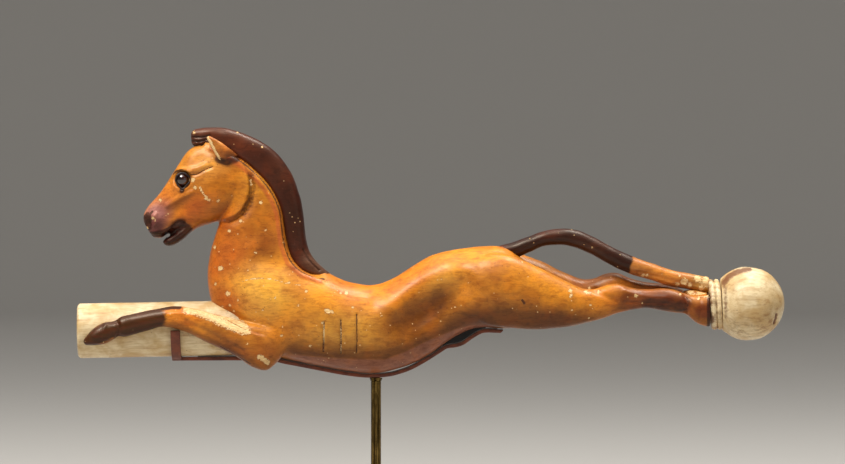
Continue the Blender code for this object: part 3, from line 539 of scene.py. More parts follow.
horse = {
    "voxel": 0.3, "smoothing": 5,
    "torso": [
        ((33.9, 23.0), (33.0, 13.2), 3.0), ((30.7, 25.6), (30.0, 11.1), 5.6),
        ((27.1, 27.8), (26.4, 10.75), 7.0), ((22.2, 27.8), (22.6, 11.0), 7.5),
        ((16.8, 27.2), (19.2, 10.2), 7.1), ((11.9, 26.0), (15.3, 7.9), 6.5),
        ((7.9, 23.7), (11.5, 5.2), 6.3), ((4.0, 21.2), (6.8, 2.9), 6.9),
        ((-0.4, 19.6), (0.4, 1.2), 7.7), ((-5.1, 20.1), (-5.5, 1.6), 8.2),
        ((-9.2, 21.7), (-11.5, 2.6), 8.5), ((-12.4, 23.7), (-17.9, 3.9), 8.4),
        ((-14.9, 25.8), (-24.3, 5.6), 7.9), ((-16.4, 28.0), (-29.4, 8.5), 7.3),
        ((-17.0, 30.3), (-33.5, 13.2), 6.5), ((-17.7, 33.2), (-35.4, 18.3), 5.8),
        ((-18.1, 36.2), (-35.7, 23.0), 5.2), ((-19.0, 39.2), (-34.9, 27.7), 4.8),
        ((-20.5, 42.4), (-33.6, 32.0), 4.4), ((-22.6, 45.2), (-32.1, 36.4), 4.0),
        ((-25.6, 47.7), (-32.0, 39.6), 3.7), ((-29.4, 49.7), (-33.7, 42.2), 3.5),
        ((-33.0, 50.6), (-36.0, 44.8), 3.1), ((-36.2, 50.6), (-37.7, 46.9), 2.3),
    ],
    "head": [
        ((-32.8, 49.2), (-27.0, 42.6), 2.6), ((-35.8, 49.6), (-27.2, 38.9), 3.9),
        ((-38.3, 49.5), (-28.8, 36.0), 4.35), ((-40.3, 48.1), (-31.5, 34.4), 4.4),
        ((-41.7, 46.0), (-34.4, 33.2), 4.2), ((-43.0, 44.0), (-37.1, 32.3), 3.75),
        ((-44.4, 41.8), (-39.0, 31.8), 3.2), ((-45.9, 39.5), (-40.7, 31.5), 2.75),
        ((-47.3, 37.9), (-42.4, 31.4), 2.5), ((-48.7, 36.3), (-44.3, 30.8), 2.45),
        ((-49.5, 34.8), (-45.8, 29.8), 2.35), ((-49.5, 33.2), (-47.5, 29.9), 1.6),
    ],
    "jaw": [
        ((-36.6, 34.8), (-36.4, 32.7), 1.8), ((-38.9, 33.8), (-38.2, 31.9), 2.1),
        ((-41.0, 32.4), (-39.4, 31.0), 2.2), ((-42.6, 31.3), (-40.8, 29.7), 2.15),
        ((-43.9, 30.3), (-42.3, 28.6), 2.05), ((-45.0, 29.6), (-43.8, 28.1), 1.8),
        ((-45.5, 29.1), (-44.9, 28.2), 1.1),
    ],
    "foreleg": [
        ((-18.4, 10.6), (-19.3, 5.5), 1.2, -0.3), ((-21.2, 11.3), (-20.9, 3.6), 2.2, 0.1),
        ((-24.3, 11.3), (-23.2, 1.8), 2.7, 0.55), ((-27.7, 11.9), (-26.2, 2.5), 2.8, 0.5),
        ((-30.7, 12.8), (-29.4, 4.7), 2.7, 0.4), ((-34.1, 13.6), (-33.2, 6.6), 2.5, 0.35),
        ((-37.1, 14.5), (-36.7, 8.2), 2.4, 0.3), ((-39.6, 15.0), (-40.1, 10.0), 2.4, 0.3),
        ((-42.2, 15.3), (-43.0, 10.8), 2.3, 0.3), ((-45.0, 15.0), (-45.4, 11.1), 2.0, 0.25),
        ((-48.2, 14.4), (-47.9, 10.4), 1.8, 0.25), ((-51.4, 13.7), (-50.9, 9.6), 1.8, 0.25),
        ((-53.9, 13.2), (-53.2, 9.0), 2.0, 0.25), ((-55.4, 12.2), (-54.6, 9.1), 1.8, 0.25),
        ((-57.4, 11.9), (-55.5, 8.5), 1.9, 0.25), ((-59.4, 10.9), (-57.3, 7.5), 2.0, 0.25),
        ((-61.0, 9.4), (-59.4, 7.2), 1.8, 0.25), ((-62.1, 7.9), (-61.6, 7.2), 1.1, 0.25),
    ],
    "hindLeg": [
        ((20.0, 24.3), (21.3, 12.8), 2.4, 4.6, 0.0), ((24.3, 26.5), (24.3, 11.3), 3.2, 4.5, 0.3),
        ((29.6, 25.8), (29.4, 10.7), 3.8, 4.4, 0.9), ((34.9, 23.4), (34.5, 10.5), 3.7, 4.3, 1.5),
        ((39.6, 21.0), (39.2, 10.85), 3.4, 4.1, 1.7), ((43.7, 19.1), (44.3, 11.75), 2.9, 3.8, 1.9),
        ((46.5, 18.9), (48.2, 12.8), 2.5, 3.5, 2.2), ((49.0, 19.8), (50.7, 13.7), 2.3, 3.2, 2.3),
        ((51.4, 20.0), (52.6, 14.25), 2.2, 3.0, 2.3), ((53.9, 19.3), (54.8, 14.75), 2.0, 2.9, 2.0),
        ((57.3, 18.9), (57.3, 15.05), 1.9, 2.8, 1.5), ((60.5, 19.0), (60.3, 14.6), 2.1, 2.7, 1.0),
        ((63.3, 18.8), (63.7, 14.0), 2.35, 2.7, 0.7), ((65.6, 18.0), (65.8, 13.8), 2.2, 2.7, 0.6),
        ((67.3, 17.5), (67.1, 12.7), 2.25, 2.7, 0.5), ((69.0, 17.6), (69.0, 11.5), 2.5, 2.7, 0.4),
        ((71.1, 17.9), (71.1, 10.9), 2.55, 2.7, 0.3),
    ],
    # broken ivory left between the hooves and the tail
    "web": [
        ((65.2, 18.4), (65.5, 17.6), 0.6), ((67.4, 18.9), (67.4, 16.8), 1.7),
        ((70.9, 18.2), (70.9, 16.6), 1.9),
    ],
    "handleRadius": 5.85,
    # where the legs are cut off: the forelegs below a line of (x, z) points and outside forelegInner
    "hindSplit": 41.0, "forelegSplit": -27.2, "forelegInner": 3.2,
    "forelegSeam": [(-36.5, 15.9), (-34.8, 14.9), (-31.5, 12.4), (-27.2, 10.2)],
    # (x, z, reach) and rounds of smoothing where the limbs and the mane's end run into the body
    "chestBlend": ((-20.2, 8.0, 5.0), 14), "maneBlend": ((-11.6, 21.6, 2.4), 12),
    # (x, z, reach, push, stretch, turn, outer) the nostril and the wing over it
    "nostril": [(-48.25, 33.1, 1.15, -0.75, 1.5, 65, 0.1), (-47.2, 34.5, 0.9, 0.22, 1.6, 40, 0.25)],
    "unevenness": 0.035,
    # (x, z, reach, push, stretch, turn) swellings and hollows of the flanks
    "swellings": [
        (-32.6, 39.6, 5.6, 0.5, 1.1, 30), (-37.6, 46.4, 2.4, -0.35, 1.4, 40),
        (-42.0, 36.0, 2.4, -0.5, 1.9, 40), (-46.9, 33.4, 1.8, 0.25, 1.2, 30),
        (-25.5, 17.5, 8.5, 0.75, 1.1, 20), (-30.5, 12.6, 2.6, -0.5, 2.4, -28),
        (-15.0, 24.0, 6.0, -0.5, 1.4, -30), (-22.5, 25.0, 3.2, -0.35, 2.2, -15),
        (10.8, 14.4, 6.5, -0.7, 1.5, 40), (24.0, 18.5, 9.5, 0.6, 1.2, 10),
        (38.0, 15.5, 6.0, 0.2, 2.0, -10), (-24.0, 31.0, 5.5, 0.25, 1.8, 75),
        (-31.5, 25.0, 4.0, -0.3, 2.4, 80), (-2.0, 9.0, 8.0, 0.4, 1.6, 0),
        (45.5, 15.0, 3.0, -0.25, 1.8, 10),
    ],
    # (points, raised, lowered, reach) ledges: the left hand side of the line stands higher
    "ledges": [
        ([(-33.9, 33.2), (-31.8, 33.7), (-30.0, 34.4), (-28.3, 36.0), (-27.2, 38.5), (-26.9, 41.1),
          (-27.4, 43.6), (-29.0, 46.0)], 0.55, -1.0, 2.6),
        ([(-22.6, 8.8), (-26.2, 9.9), (-29.0, 11.2), (-31.6, 12.6), (-33.6, 14.0), (-35.4, 15.6)],
         0.3, -0.5, 1.3),
    ],
    # (points, reach, push) cuts and ridges drawn with the knife
    "cuts": [
        ([(3.0, 15.5), (6.5, 18.4), (10.5, 21.0), (15.0, 23.4)], 4.4, 0.6),
        ([(6.0, 11.0), (9.5, 13.8), (13.5, 16.8), (18.5, 19.6)], 4.4, -0.95),
        ([(-43.4, 43.2), (-42.4, 44.1), (-40.9, 44.3), (-39.5, 43.7)], 0.8, 0.45),
        ([(-39.7, 43.2), (-38.0, 43.4), (-36.4, 44.3), (-34.9, 44.9)], 0.6, -0.28),
        ([(-39.9, 44.3), (-38.0, 44.6), (-36.4, 45.4)], 0.8, 0.25),
        ([(-42.9, 40.9), (-41.2, 39.9), (-39.6, 41.0)], 0.6, 0.25),
        ([(-39.0, 39.6), (-41.8, 38.3), (-44.5, 36.7)], 0.9, 0.35),
        ([(-43.0, 32.6), (-42.0, 33.3), (-40.8, 33.2)], 0.7, -0.4),
        ([(-47.4, 31.0), (-45.4, 31.1), (-43.7, 32.2)], 0.6, 0.25),
        ([(-46.7, 35.0), (-47.2, 34.0), (-46.9, 32.8)], 0.6, 0.25),
        ([(-45.0, 29.7), (-44.0, 30.3), (-42.8, 30.9)], 0.45, -0.3),
        ([(-10.9, 11.9), (-11.0, 9.0), (-11.1, 5.9)], 0.45, -0.28),
        ([(-7.4, 12.4), (-7.3, 9.0), (-7.4, 5.6)], 0.45, -0.28),
        ([(-4.0, 13.6), (-3.9, 9.0), (-4.0, 5.8)], 0.45, -0.28),
        ([(-44.0, 13.6), (-41.5, 13.9), (-39.6, 13.2)], 0.8, 0.22),
        ([(-40.0, 12.0), (-36.5, 10.4), (-32.5, 8.3), (-28.0, 5.8)], 0.9, -0.22),
        ([(-55.0, 12.4), (-54.3, 10.8), (-54.6, 9.0)], 0.6, -0.35),
        ([(-57.0, 12.0), (-57.6, 9.8), (-56.6, 8.2)], 0.5, 0.15),
        ([(-62.0, 8.6), (-59.0, 8.0), (-56.6, 8.0)], 0.4, -0.14),
        ([(46.8, 18.6), (48.6, 17.6), (50.8, 16.6)], 1.1, -0.3),
        ([(52.6, 18.6), (57.0, 17.4), (61.5, 17.2)], 0.7, 0.2),
        ([(53.0, 16.2), (57.0, 16.1), (61.5, 15.9)], 0.6, -0.22),
        ([(65.6, 18.2), (66.2, 16.0), (65.6, 13.6)], 0.9, -0.45),
        ([(68.6, 17.8), (69.0, 14.5), (68.4, 11.4)], 0.5, -0.14),
    ],
}

# deep and rimOut are how far from the middle plane the eye and its rim sit; lid, socket and tear are
# (reach, push)
eyes = {
    "place": (-41.1, 42.25), "radius": 1.45, "deep": 2.5, "rimRadius": 1.42, "rimWire": 0.2, "rimOut": 3.25,
    "rimDrop": 0.55, "rimCorner": 0.4, "lid": (3.2, 0.18), "socket": (2.25, -1.1), "tear": (0.9, -0.35),
}

crest = {
    # the neck is cut back to the rebate's half width, by no more than deepest, and the cut fades out at
    # both ends of the line
    "rebate": 1.6, "deepest": 1.9, "cutEdge": 0.45, "cutReach": 8, "fadeIn": 0.03, "fadeOut": 0.05,
    "sections": [
        ((-39.4, 52.0), (-39.3, 49.9), 1.2), ((-38.9, 52.8), (-38.5, 49.2), 1.7),
        ((-37.5, 53.2), (-36.8, 48.9), 2.0), ((-35.8, 53.4), (-34.9, 49.0), 2.15),
        ((-32.4, 53.3), (-33.5, 48.4), 2.3), ((-29.0, 52.4), (-31.1, 47.1), 2.4),
        ((-25.9, 51.15), (-29.0, 45.8), 2.4), ((-22.9, 49.4), (-26.9, 44.1), 2.4),
        ((-20.35, 47.1), (-24.9, 42.2), 2.4), ((-18.4, 44.3), (-23.2, 40.1), 2.4),
        ((-16.9, 41.0), (-21.9, 37.9), 2.4), ((-15.85, 37.3), (-20.9, 35.4), 2.4),
        ((-15.3, 33.7), (-20.5, 32.6), 2.4), ((-15.0, 30.3), (-20.0, 28.8), 2.6),
        ((-14.1, 26.9), (-18.5, 24.7), 3.2), ((-12.3, 24.4), (-15.6, 22.2), 3.6),
        ((-9.8, 22.3), (-11.5, 20.9), 2.6),
    ],
    "strands": [
        [(-39.6, 51.4), (-37.2, 51.3), (-35.4, 51.6)], [(-39.6, 50.5), (-37.4, 50.4), (-35.8, 50.9)],
        [(-39.5, 49.7), (-37.8, 49.5), (-36.4, 50.0)], [(-12.0, 23.0), (-14.2, 25.2), (-15.4, 27.4)],
    ],
    "stain": (72, 29, 25),
    "patches": [
        (-37.5, 51.0, 4.0, 1.4, 0, 0.8, (88, 46, 42)), (-30.0, 52.0, 6.0, 2.0, -15, 0.6, (84, 44, 42)),
        (-20.0, 45.0, 6.0, 1.6, -60, 0.5, (74, 40, 38)), (-17.0, 33.0, 6.0, 1.6, 90, 0.6, (50, 24, 24)),
        (-12.5, 24.0, 4.0, 1.4, -45, 0.7, (104, 74, 74)),
    ],
    "flakes": [(-24.2, 49.2, 0.22), (-29.5, 52.3, 0.2), (-19.6, 42.0, 0.15), (-38.8, 52.3, 0.3)],
}
# the line where the mane meets the neck
crest["root"] = [(x + 0.5, z + 0.2) for _, (x, z), _ in crest["sections"][3:]]


def addHorse():
    bm = bmesh.new()
    loft(bm, rowsOf(horse["torso"], grow=0.2), 40, 4, 2.15, -0.04)
    loft(bm, rowsOf(horse["head"], grow=0.03), 32, 4, 2.35)
    loft(bm, rowsOf(horse["jaw"]), 24, 4, 2.2)
    loft(bm, rowsOf(horse["web"]), 20, 6, 2.2)
    for side in (-1, 1):
        loft(bm, rowsOf(horse["foreleg"], side, horse["handleRadius"], grow=0.1), 24, 4, 2.1)
        loft(bm, rowsOf(horse["hindLeg"], side, lifted=side > 0, grow=0.1), 28, 4, 2.1)
    obj = fusedObject("horseCarving", bm, horse["voxel"], horse["smoothing"])
    skin = Surface(obj)
    place, rounds = horse["chestBlend"]
    skin.relax(skin.fieldAt(*place) * 0.8, rounds)
    skin.write()
    for x, z, reach, push, stretch, turn in horse["swellings"]:
        skin.push(skin.fieldAt(x, z, reach, stretch, turn), push)
    skin.write()
    for points, raised, lowered, reach in horse["ledges"]:
        skin.step(curvePoints(points), raised, lowered, reach)
    skin.write()
    for points, reach, push in horse["cuts"]:
        skin.push(skin.fieldAlong(curvePoints(points), reach), push)
    # the neck is cut back beyond a rounded edge, and the mane sits in that rebate
    skin.push(skin.fieldAlong([(x - 0.6, z - 0.5) for x, z in crest["root"]], 0.8), 0.22, 0.1)
    away, side, along = skin.distance(curvePoints(crest["root"]))
    cut = softEdge(away / crest["cutEdge"]) * (side > 0) * (away < crest["cutReach"])
    cut *= softEdge(along / crest["fadeIn"]) * softEdge((1 - along) / crest["fadeOut"])
    excess = np.clip(np.abs(skin.place[:, 1]) - crest["rebate"], 0, crest["deepest"]) * cut
    skin.place[:, 1] -= np.sign(skin.place[:, 1]) * excess
    place, rounds = horse["maneBlend"]
    skin.relax(skin.fieldAt(*place) * 0.8, rounds)
    skin.write()
    # the eye's lids, its steep socket and a teardrop towards the cheek
    x, z = eyes["place"]
    (lidReach, lid), (socketReach, socket), (tearReach, tear) = eyes["lid"], eyes["socket"], eyes["tear"]
    skin.push(skin.fieldAt(x, z, lidReach), lid)
    skin.push(softEdge(skin.fieldAt(x, z, socketReach) * 3), socket)
    skin.push(skin.fieldAt(x - 0.1, z - 1.9, tearReach), tear)
    for x, z, reach, push, stretch, turn, outer in horse["nostril"]:
        skin.push(skin.fieldAt(x, z, reach, stretch, turn), push, outer)
    skin.write()
    skin.place += skin.normal * (seededWaves(skin.place, 5.0, 3) * horse["unevenness"])[:, None]
    skin.write()
    return obj, skin


def blendColour(colours, field, colour):
    return colours + (linear(*colour) - colours) * np.clip(field, 0, 1)[:, None]


def patchedColours(skin, base, patches):
    colours = np.tile(linear(*base), (len(skin.place), 1))
    for x, z, reach, stretch, turn, strength, colour in patches:
        colours = blendColour(colours, skin.fieldAt(x, z, reach, stretch, turn) * 1.4 * strength, colour)
    return colours


def strongest(skin, fields):
    found = np.zeros(len(skin.place))
    for field in fields:
        found = np.maximum(found, field)
    return found


stainsAndShading = {
    "base": (202, 130, 56), "warmth": (0.97, 0.94, 0.5),
    # colours of the band under the belly, the painted shade above it, painted shade on faces that look down,
    # the reddish edge beside the mane that is partly a painted highlight on that ridge, painted shade on the
    # far hind leg, and the skin at the tail's root
    "band": (142, 92, 98), "shade": (104, 58, 32), "below": (94, 52, 34), "maneEdge": (186, 96, 70),
    "farLeg": (120, 66, 42), "tailRoot": (160, 66, 60),
    # (x, z, reach, stretch, turn, strength, colour); some are painted highlights and painted shade, as marked
    "patches": [
        # the forehead, lightened as a painted highlight
        (-36.0, 46.0, 6.5, 1.3, 40, 0.8, (228, 160, 98)),
        (-32.5, 40.0, 6.5, 1.1, 0, 0.85, (186, 114, 38)),
        (-38.5, 36.0, 5.0, 1.6, 35, 0.75, (196, 104, 46)),
        # the nose, lightened as a painted highlight; the muzzle after it is partly one too
        (-44.5, 38.5, 4.0, 1.6, 45, 0.75, (214, 128, 70)),
        (-46.9, 34.6, 4.2, 1.3, 40, 1.0, (176, 120, 150)),
        (-47.2, 32.0, 3.2, 1.5, 20, 1.0, (100, 56, 76)),
        (-43.0, 30.0, 3.2, 1.5, 35, 1.0, (36, 18, 14)),
        (-41.8, 32.7, 2.2, 1.3, 35, 1.0, (52, 27, 40)),
        # painted shadow at the ear's base
        (-31.4, 47.0, 3.4, 1.5, -25, 0.8, (124, 70, 46)),
        (-24.0, 41.0, 6.0, 1.4, 60, 0.7, (208, 144, 58)),
        # the middle of the neck, darkened as painted shade behind the jowl
        (-25.0, 33.0, 8.0, 1.4, 80, 0.85, (178, 108, 42)),
        (-23.5, 28.0, 5.5, 1.3, 60, 0.6, (158, 90, 42)),
        (-32.0, 25.0, 8.0, 1.6, 75, 0.85, (190, 104, 50)),
        (-32.5, 33.0, 3.6, 1.6, 70, 0.6, (168, 84, 36)),
        # painted highlight on the shoulder
        (-24.0, 18.5, 9.0, 1.5, 5, 0.85, (230, 170, 96)),
        (-31.5, 16.5, 5.0, 1.2, -30, 0.75, (188, 104, 50)),
        (-12.5, 22.0, 5.5, 1.5, -30, 0.7, (186, 104, 54)),
        (-9.0, 18.5, 7.0, 1.7, -10, 0.75, (230, 158, 62)),
        (-2.0, 18.8, 7.0, 2.0, 5, 0.85, (220, 132, 34)),
        (-6.0, 10.0, 9.0, 1.8, 0, 0.8, (196, 142, 80)),
        (8.0, 12.0, 8.0, 1.6, 30, 0.85, (144, 86, 34)),
        # painted highlight, the glare on the front of the haunch
        (14.5, 21.5, 6.0, 1.5, 50, 0.7, (226, 160, 88)),
        (9.0, 22.0, 4.0, 2.2, 35, 0.7, (214, 128, 40)),
        (22.0, 27.0, 6.0, 2.4, 0, 0.85, (228, 146, 46)),
        (27.0, 18.5, 8.0, 1.7, -12, 0.7, (184, 118, 54)),
        # this and the next are painted shade: under the thigh and in the hollow of the flank
        (25.0, 12.6, 6.0, 2.8, 4, 0.85, (108, 66, 38)),
        (12.6, 15.6, 4.0, 2.2, 40, 0.9, (112, 64, 30)),
        (37.0, 12.4, 5.0, 2.8, 3, 0.85, (106, 60, 32)),
        (36.5, 20.5, 6.0, 2.4, -28, 0.7, (210, 138, 52)),
        (48.0, 17.3, 5.0, 1.6, -20, 0.85, (204, 128, 54)),
        (55.5, 16.6, 5.0, 1.8, 0, 0.95, (126, 68, 40)),
        (61.0, 16.4, 4.5, 1.4, 0, 1.0, (112, 56, 38)),
        (65.4, 15.8, 3.4, 1.2, -60, 0.95, (92, 44, 30)),
        (69.4, 14.3, 3.6, 1.2, 0, 0.95, (120, 58, 32)),
        (-31.0, 8.5, 5.5, 2.0, -25, 0.8, (172, 108, 52)),
        (-29.0, 5.6, 3.6, 2.6, -28, 0.7, (140, 80, 42)),
        (-23.0, 5.6, 5.0, 1.2, 0, 0.75, (156, 92, 46)),
        (-41.0, 13.2, 3.8, 1.6, -15, 1.0, (224, 136, 54)),
    ],
    # (points, reach, strength) dark stain that hides the grain, and painted shadow where marked
    "stainAndShadeStrokes": [
        ([(-47.0, 12.9), (-50.5, 12.0), (-54.5, 10.8)], 4.3, 1.0),
        ([(-56.5, 10.4), (-59.5, 8.9), (-62.0, 7.6)], 3.4, 0.95),
        ([(-48.5, 14.0), (-46.0, 14.8), (-43.4, 15.2), (-41.6, 15.2)], 0.85, 0.9),
        ([(57.5, 16.0), (62.5, 15.6), (64.6, 15.2)], 2.6, 0.52),
        # painted shade in the gap between the hoof and the collar
        ([(70.8, 17.8), (70.8, 11.0)], 0.9, 0.9),
        ([(-44.2, 28.9), (-42.4, 30.2), (-40.6, 31.4)], 2.6, 1.0),
        ([(-47.9, 30.4), (-45.0, 31.0), (-43.2, 31.9)], 1.2, 0.95),
        ([(-48.9, 34.0), (-48.6, 32.2)], 1.5, 0.95),
        # painted shadow at the ear's base
        ([(-33.4, 46.6), (-31.7, 46.0), (-29.8, 46.6)], 1.7, 0.7),
        ([(-41.1, 40.6), (-41.2, 39.9)], 0.9, 0.9),
        # painted shadow behind the jowl
        ([(-26.6, 43.6), (-26.2, 40.6), (-26.6, 37.6), (-28.2, 35.0)], 1.5, 0.5),
    ],
    # (points, half width) thin dark lines
    "scores": [
        ([(-39.9, 43.2), (-38.0, 43.4), (-36.4, 44.3), (-34.6, 45.0)], 0.11),
        ([(-43.2, 43.4), (-42.3, 44.1), (-41.0, 44.2), (-39.9, 43.5)], 0.2),
        ([(-43.3, 32.4), (-42.2, 33.2), (-41.0, 33.3), (-40.3, 32.6)], 0.25),
        ([(-47.6, 35.4), (-48.1, 34.6), (-47.9, 33.4)], 0.25),
        ([(-10.9, 11.9), (-11.0, 9.0), (-11.1, 5.7)], 0.17), ([(-7.4, 12.4), (-7.3, 9.0), (-7.4, 5.4)], 0.17),
        ([(-4.0, 13.6), (-3.9, 9.0), (-4.0, 5.6)], 0.14),
        ([(-48.6, 34.9), (-48.5, 33.7), (-48.4, 32.5)], 0.45),
        ([(-33.0, 7.0), (-29.6, 5.0), (-26.5, 3.2)], 0.1),
        ([(-35.4, 15.7), (-33.4, 14.6), (-31.4, 13.4), (-29.4, 12.2)], 0.16),
        ([(-39.0, 14.4), (-35.6, 13.0), (-32.6, 11.4), (-29.4, 9.8)], 0.12),
        ([(31.0, 16.7), (31.5, 16.0)], 0.25), ([(66.0, 17.2), (66.3, 16.0), (65.7, 14.2)], 0.1),
    ],
    # (x, z, half width) flakes knocked off the stain
    "flakes": [
        (-39.0, 42.2, 0.6), (-38.4, 40.6, 0.35), (-45.9, 37.9, 0.35), (-47.4, 34.1, 0.36),
        (-48.7, 32.0, 0.3), (-46.9, 33.6, 0.2), (-36.0, 38.3, 0.4), (-35.4, 37.9, 0.35), (-33.5, 37.8, 0.35),
        (-26.6, 42.0, 0.28), (-26.5, 41.2, 0.28), (-24.4, 37.4, 0.4), (-28.7, 33.4, 0.38),
        (-31.1, 31.3, 0.36), (-34.4, 27.9, 0.4), (-33.0, 23.4, 0.55), (-31.4, 18.0, 0.52),
        (-25.5, 26.7, 0.3), (-19.0, 34.1, 0.3), (-34.1, 20.1, 0.3), (-14.7, 18.6, 0.32), (-21.3, 17.2, 0.25),
        (-18.3, 20.4, 0.28), (-10.2, 14.4, 0.6), (-9.2, 14.2, 0.35), (-11.2, 11.9, 0.3), (-31.0, 15.6, 0.3),
        (-6.2, 18.2, 0.4), (-7.4, 18.2, 0.3), (-13.8, 6.9, 0.3), (-19.9, 9.2, 0.28), (-27.2, 7.4, 0.25),
        (-30.1, 14.3, 0.28), (-32.6, 15.3, 0.2), (-16.4, 15.6, 0.25), (41.3, 18.7, 0.42), (41.4, 17.6, 0.4),
        (44.6, 18.5, 0.5), (45.3, 18.2, 0.35), (47.3, 18.5, 0.4), (55.2, 17.5, 0.4), (56.6, 16.0, 0.25),
        (31.0, 24.8, 0.2), (45.5, 15.6, 0.25), (41.6, 14.5, 0.25), (45.2, 12.8, 0.22), (64.6, 17.9, 0.32),
        (68.5, 16.9, 0.3), (67.0, 18.3, 0.8), (68.8, 18.0, 0.8), (70.3, 17.9, 0.7), (16.8, 15.2, 0.22),
        (-36.4, 43.9, 0.22), (-29.2, 16.6, 0.25), (-24.6, 21.3, 0.22), (-23.9, 14.6, 0.22),
        (-4.9, 15.2, 0.3), (1.2, 13.4, 0.2), (-27.6, 30.0, 0.2), (-23.4, 31.5, 0.25), (-19.6, 28.9, 0.22),
        (-30.2, 27.4, 0.2), (-27.1, 23.0, 0.22),
    ],
    # (points, half width) longer bare places
    "strips": [
        ([(-40.0, 14.7), (-37.8, 14.2), (-35.2, 13.3), (-32.4, 12.0), (-29.4, 10.8), (-27.3, 10.1)], 0.85),
        ([(-37.0, 14.4), (-34.0, 13.9), (-31.4, 13.0), (-29.2, 12.0), (-27.6, 11.0)], 0.7),
        ([(-24.6, 4.7), (-23.6, 4.1), (-22.9, 3.5)], 0.55),
        ([(-37.4, 40.6), (-36.6, 39.2), (-36.0, 38.5)], 0.22),
        ([(-28.4, 20.6), (-26.0, 21.2), (-23.1, 21.3), (-20.7, 20.8), (-18.6, 20.2), (-15.9, 19.9)], 0.1),
        ([(-10.9, 11.6), (-11.0, 6.2)], 0.08), ([(-7.4, 12.2), (-7.4, 5.9)], 0.08),
    ],
    # lower edge of the stain on the belly, as (x, z) points
    "belly": [(-17.8, 5.2), (-11.4, 4.6), (-3.4, 4.2), (1.9, 4.1), (6.2, 5.7), (11.5, 8.3), (17.0, 10.5),
              (20.0, 11.3), (24.0, 11.5)],
}


def paintHorse(skin):
    x, y, z = skin.place.T
    colours = patchedColours(skin, stainsAndShading["base"], stainsAndShading["patches"])
    below = np.interp(x, *zip(*stainsAndShading["belly"]))
    along = softEdge((x + 20) / 3) * softEdge((26 - x) / 3)
    band = softEdge((below - z) / 0.5 + 0.5) * along
    # painted shade on the lower flank, above the band
    shade = softEdge((below + 4.0 - z) / 4.0) * along * (1 - band)
    # painted shade on faces that look down
    facingDown = softEdge((-skin.normal[:, 2] - 0.15) / 0.7)
    # reddish line beside the mane, partly a painted highlight on the ridge there
    maneEdge = softEdge(skin.coneAlong([(px - 0.75, pz - 0.55) for px, pz in crest["root"]], 0.3) * 1.8)
    # painted shade on the far side of the hind quarters
    farLeg = softEdge((y - 0.5) / 1.0) * softEdge((x - 36) / 8)
    tailRoot = skin.fieldAt(27.0, 27.0, 1.1, 1.8, -40) * (np.abs(y) < 2.2)
    fields = {"band": band * 0.95, "shade": shade * 0.85, "below": facingDown * 0.5 * (1 - band),
              "maneEdge": maneEdge * 0.7, "farLeg": farLeg * 0.8, "tailRoot": tailRoot * 1.2}
    for name, field in fields.items():
        colours = blendColour(colours, field, stainsAndShading[name])
    stainAndShadeStrokes = strongest(skin, (np.minimum(skin.fieldAlong(points, reach) * 1.4, 1) * strength
                            for points, reach, strength in stainsAndShading["stainAndShadeStrokes"]))
    sideways = softEdge((np.abs(skin.normal[:, 1]) - 0.25) / 0.25)
    scored = strongest(skin, (skin.coneAlong(curvePoints(points), width) * sideways
                              for points, width in stainsAndShading["scores"] + [(crest["root"], 0.2)]))

    def flake(px, pz, reach):
        # the right side wears its flakes a little elsewhere
        right = skin.coneAt(px + math.sin(px * 7), pz + math.cos(px * 5), reach)
        return np.where(y > 0, right, skin.coneAt(px, pz, reach)) * sideways

    facing = softEdge((np.abs(skin.normal[:, 1]) - 0.05) / 0.25)
    strips = [skin.coneAlong(curvePoints(points), reach) * facing for points, reach in stainsAndShading["strips"]]
    worn = strongest(skin, [flake(*spot) for spot in stainsAndShading["flakes"]] + strips)
    return {"stain": colours * stainsAndShading["warmth"], "sooty": stainAndShadeStrokes, "worn": worn, "scored": scored}


def writePaint(mesh, paint, chosen=slice(None)):
    for name, values in paint.items():
        (writeColour if values.ndim == 2 else writeValue)(mesh, name, values[chosen])


def pieceOf(name, source, keep, paint, normals):
    # the part of the carving whose faces are kept, closed where it was cut, with its own paint
    bm = bmesh.new()
    bm.from_mesh(source)
    mark = bm.verts.layers.int.new("mark")
    for v in bm.verts:
        v[mark] = v.index
    doomed = [f for f in bm.faces if not keep[f.index]]
    bmesh.ops.delete(bm, geom=doomed, context="FACES")
    rim = [e for e in bm.edges if e.is_boundary]
    closed = bmesh.ops.holes_fill(bm, edges=rim, sides=0)["faces"]
    for f in closed:
        for e in f.edges:
            e.smooth = False
    bmesh.ops.triangulate(bm, faces=closed)
    marks = np.array([v[mark] for v in bm.verts])
    obj = looseObject(name, bm)
    writePaint(obj.data, paint, marks)
    return obj, normals[marks]


def faceCentres(mesh):
    centres = np.empty(len(mesh.polygons) * 3)
    mesh.polygons.foreach_get("center", centres)
    return centres.reshape(-1, 3).T


def splitCarving(obj, skin, paint, regions):
    for name, (node, slotName, keep) in regions.items():
        piece, normals = pieceOf(name, obj.data, keep, paint, skin.normal)
        settle(piece, "carved", "figure", slotName, node)
        piece.data.normals_split_custom_set_from_vertices([tuple(n) for n in normals])
        print(name, len(piece.data.polygons), "faces")
    bpy.data.objects.remove(obj)


def splitHorse(obj, skin):
    x, y, z = faceCentres(obj.data)
    hind = x > horse["hindSplit"]
    fore = (x < horse["forelegSplit"]) & (np.abs(y) > horse["forelegInner"])
    fore &= z < np.interp(x, *zip(*horse["forelegSeam"]))
    splitCarving(obj, skin, paintHorse(skin), {
        "horseBody": ("horse_body", "stained_ivory", ~(hind | fore)),
        "hindLegLeft": ("hind_leg_left", "stained_ivory", hind & (y < 0)),
        "hindLegRight": ("hind_leg_right", "stained_ivory", hind & (y >= 0)),
        "forelegLeft": ("foreleg_left", "stained_ivory", fore & (y < 0)),
        "forelegRight": ("foreleg_right", "stained_ivory", fore & (y >= 0)),
    })


carving, carvingSkin = addHorse()
print("horse carved,", len(carving.data.polygons), "faces")
splitHorse(carving, carvingSkin)


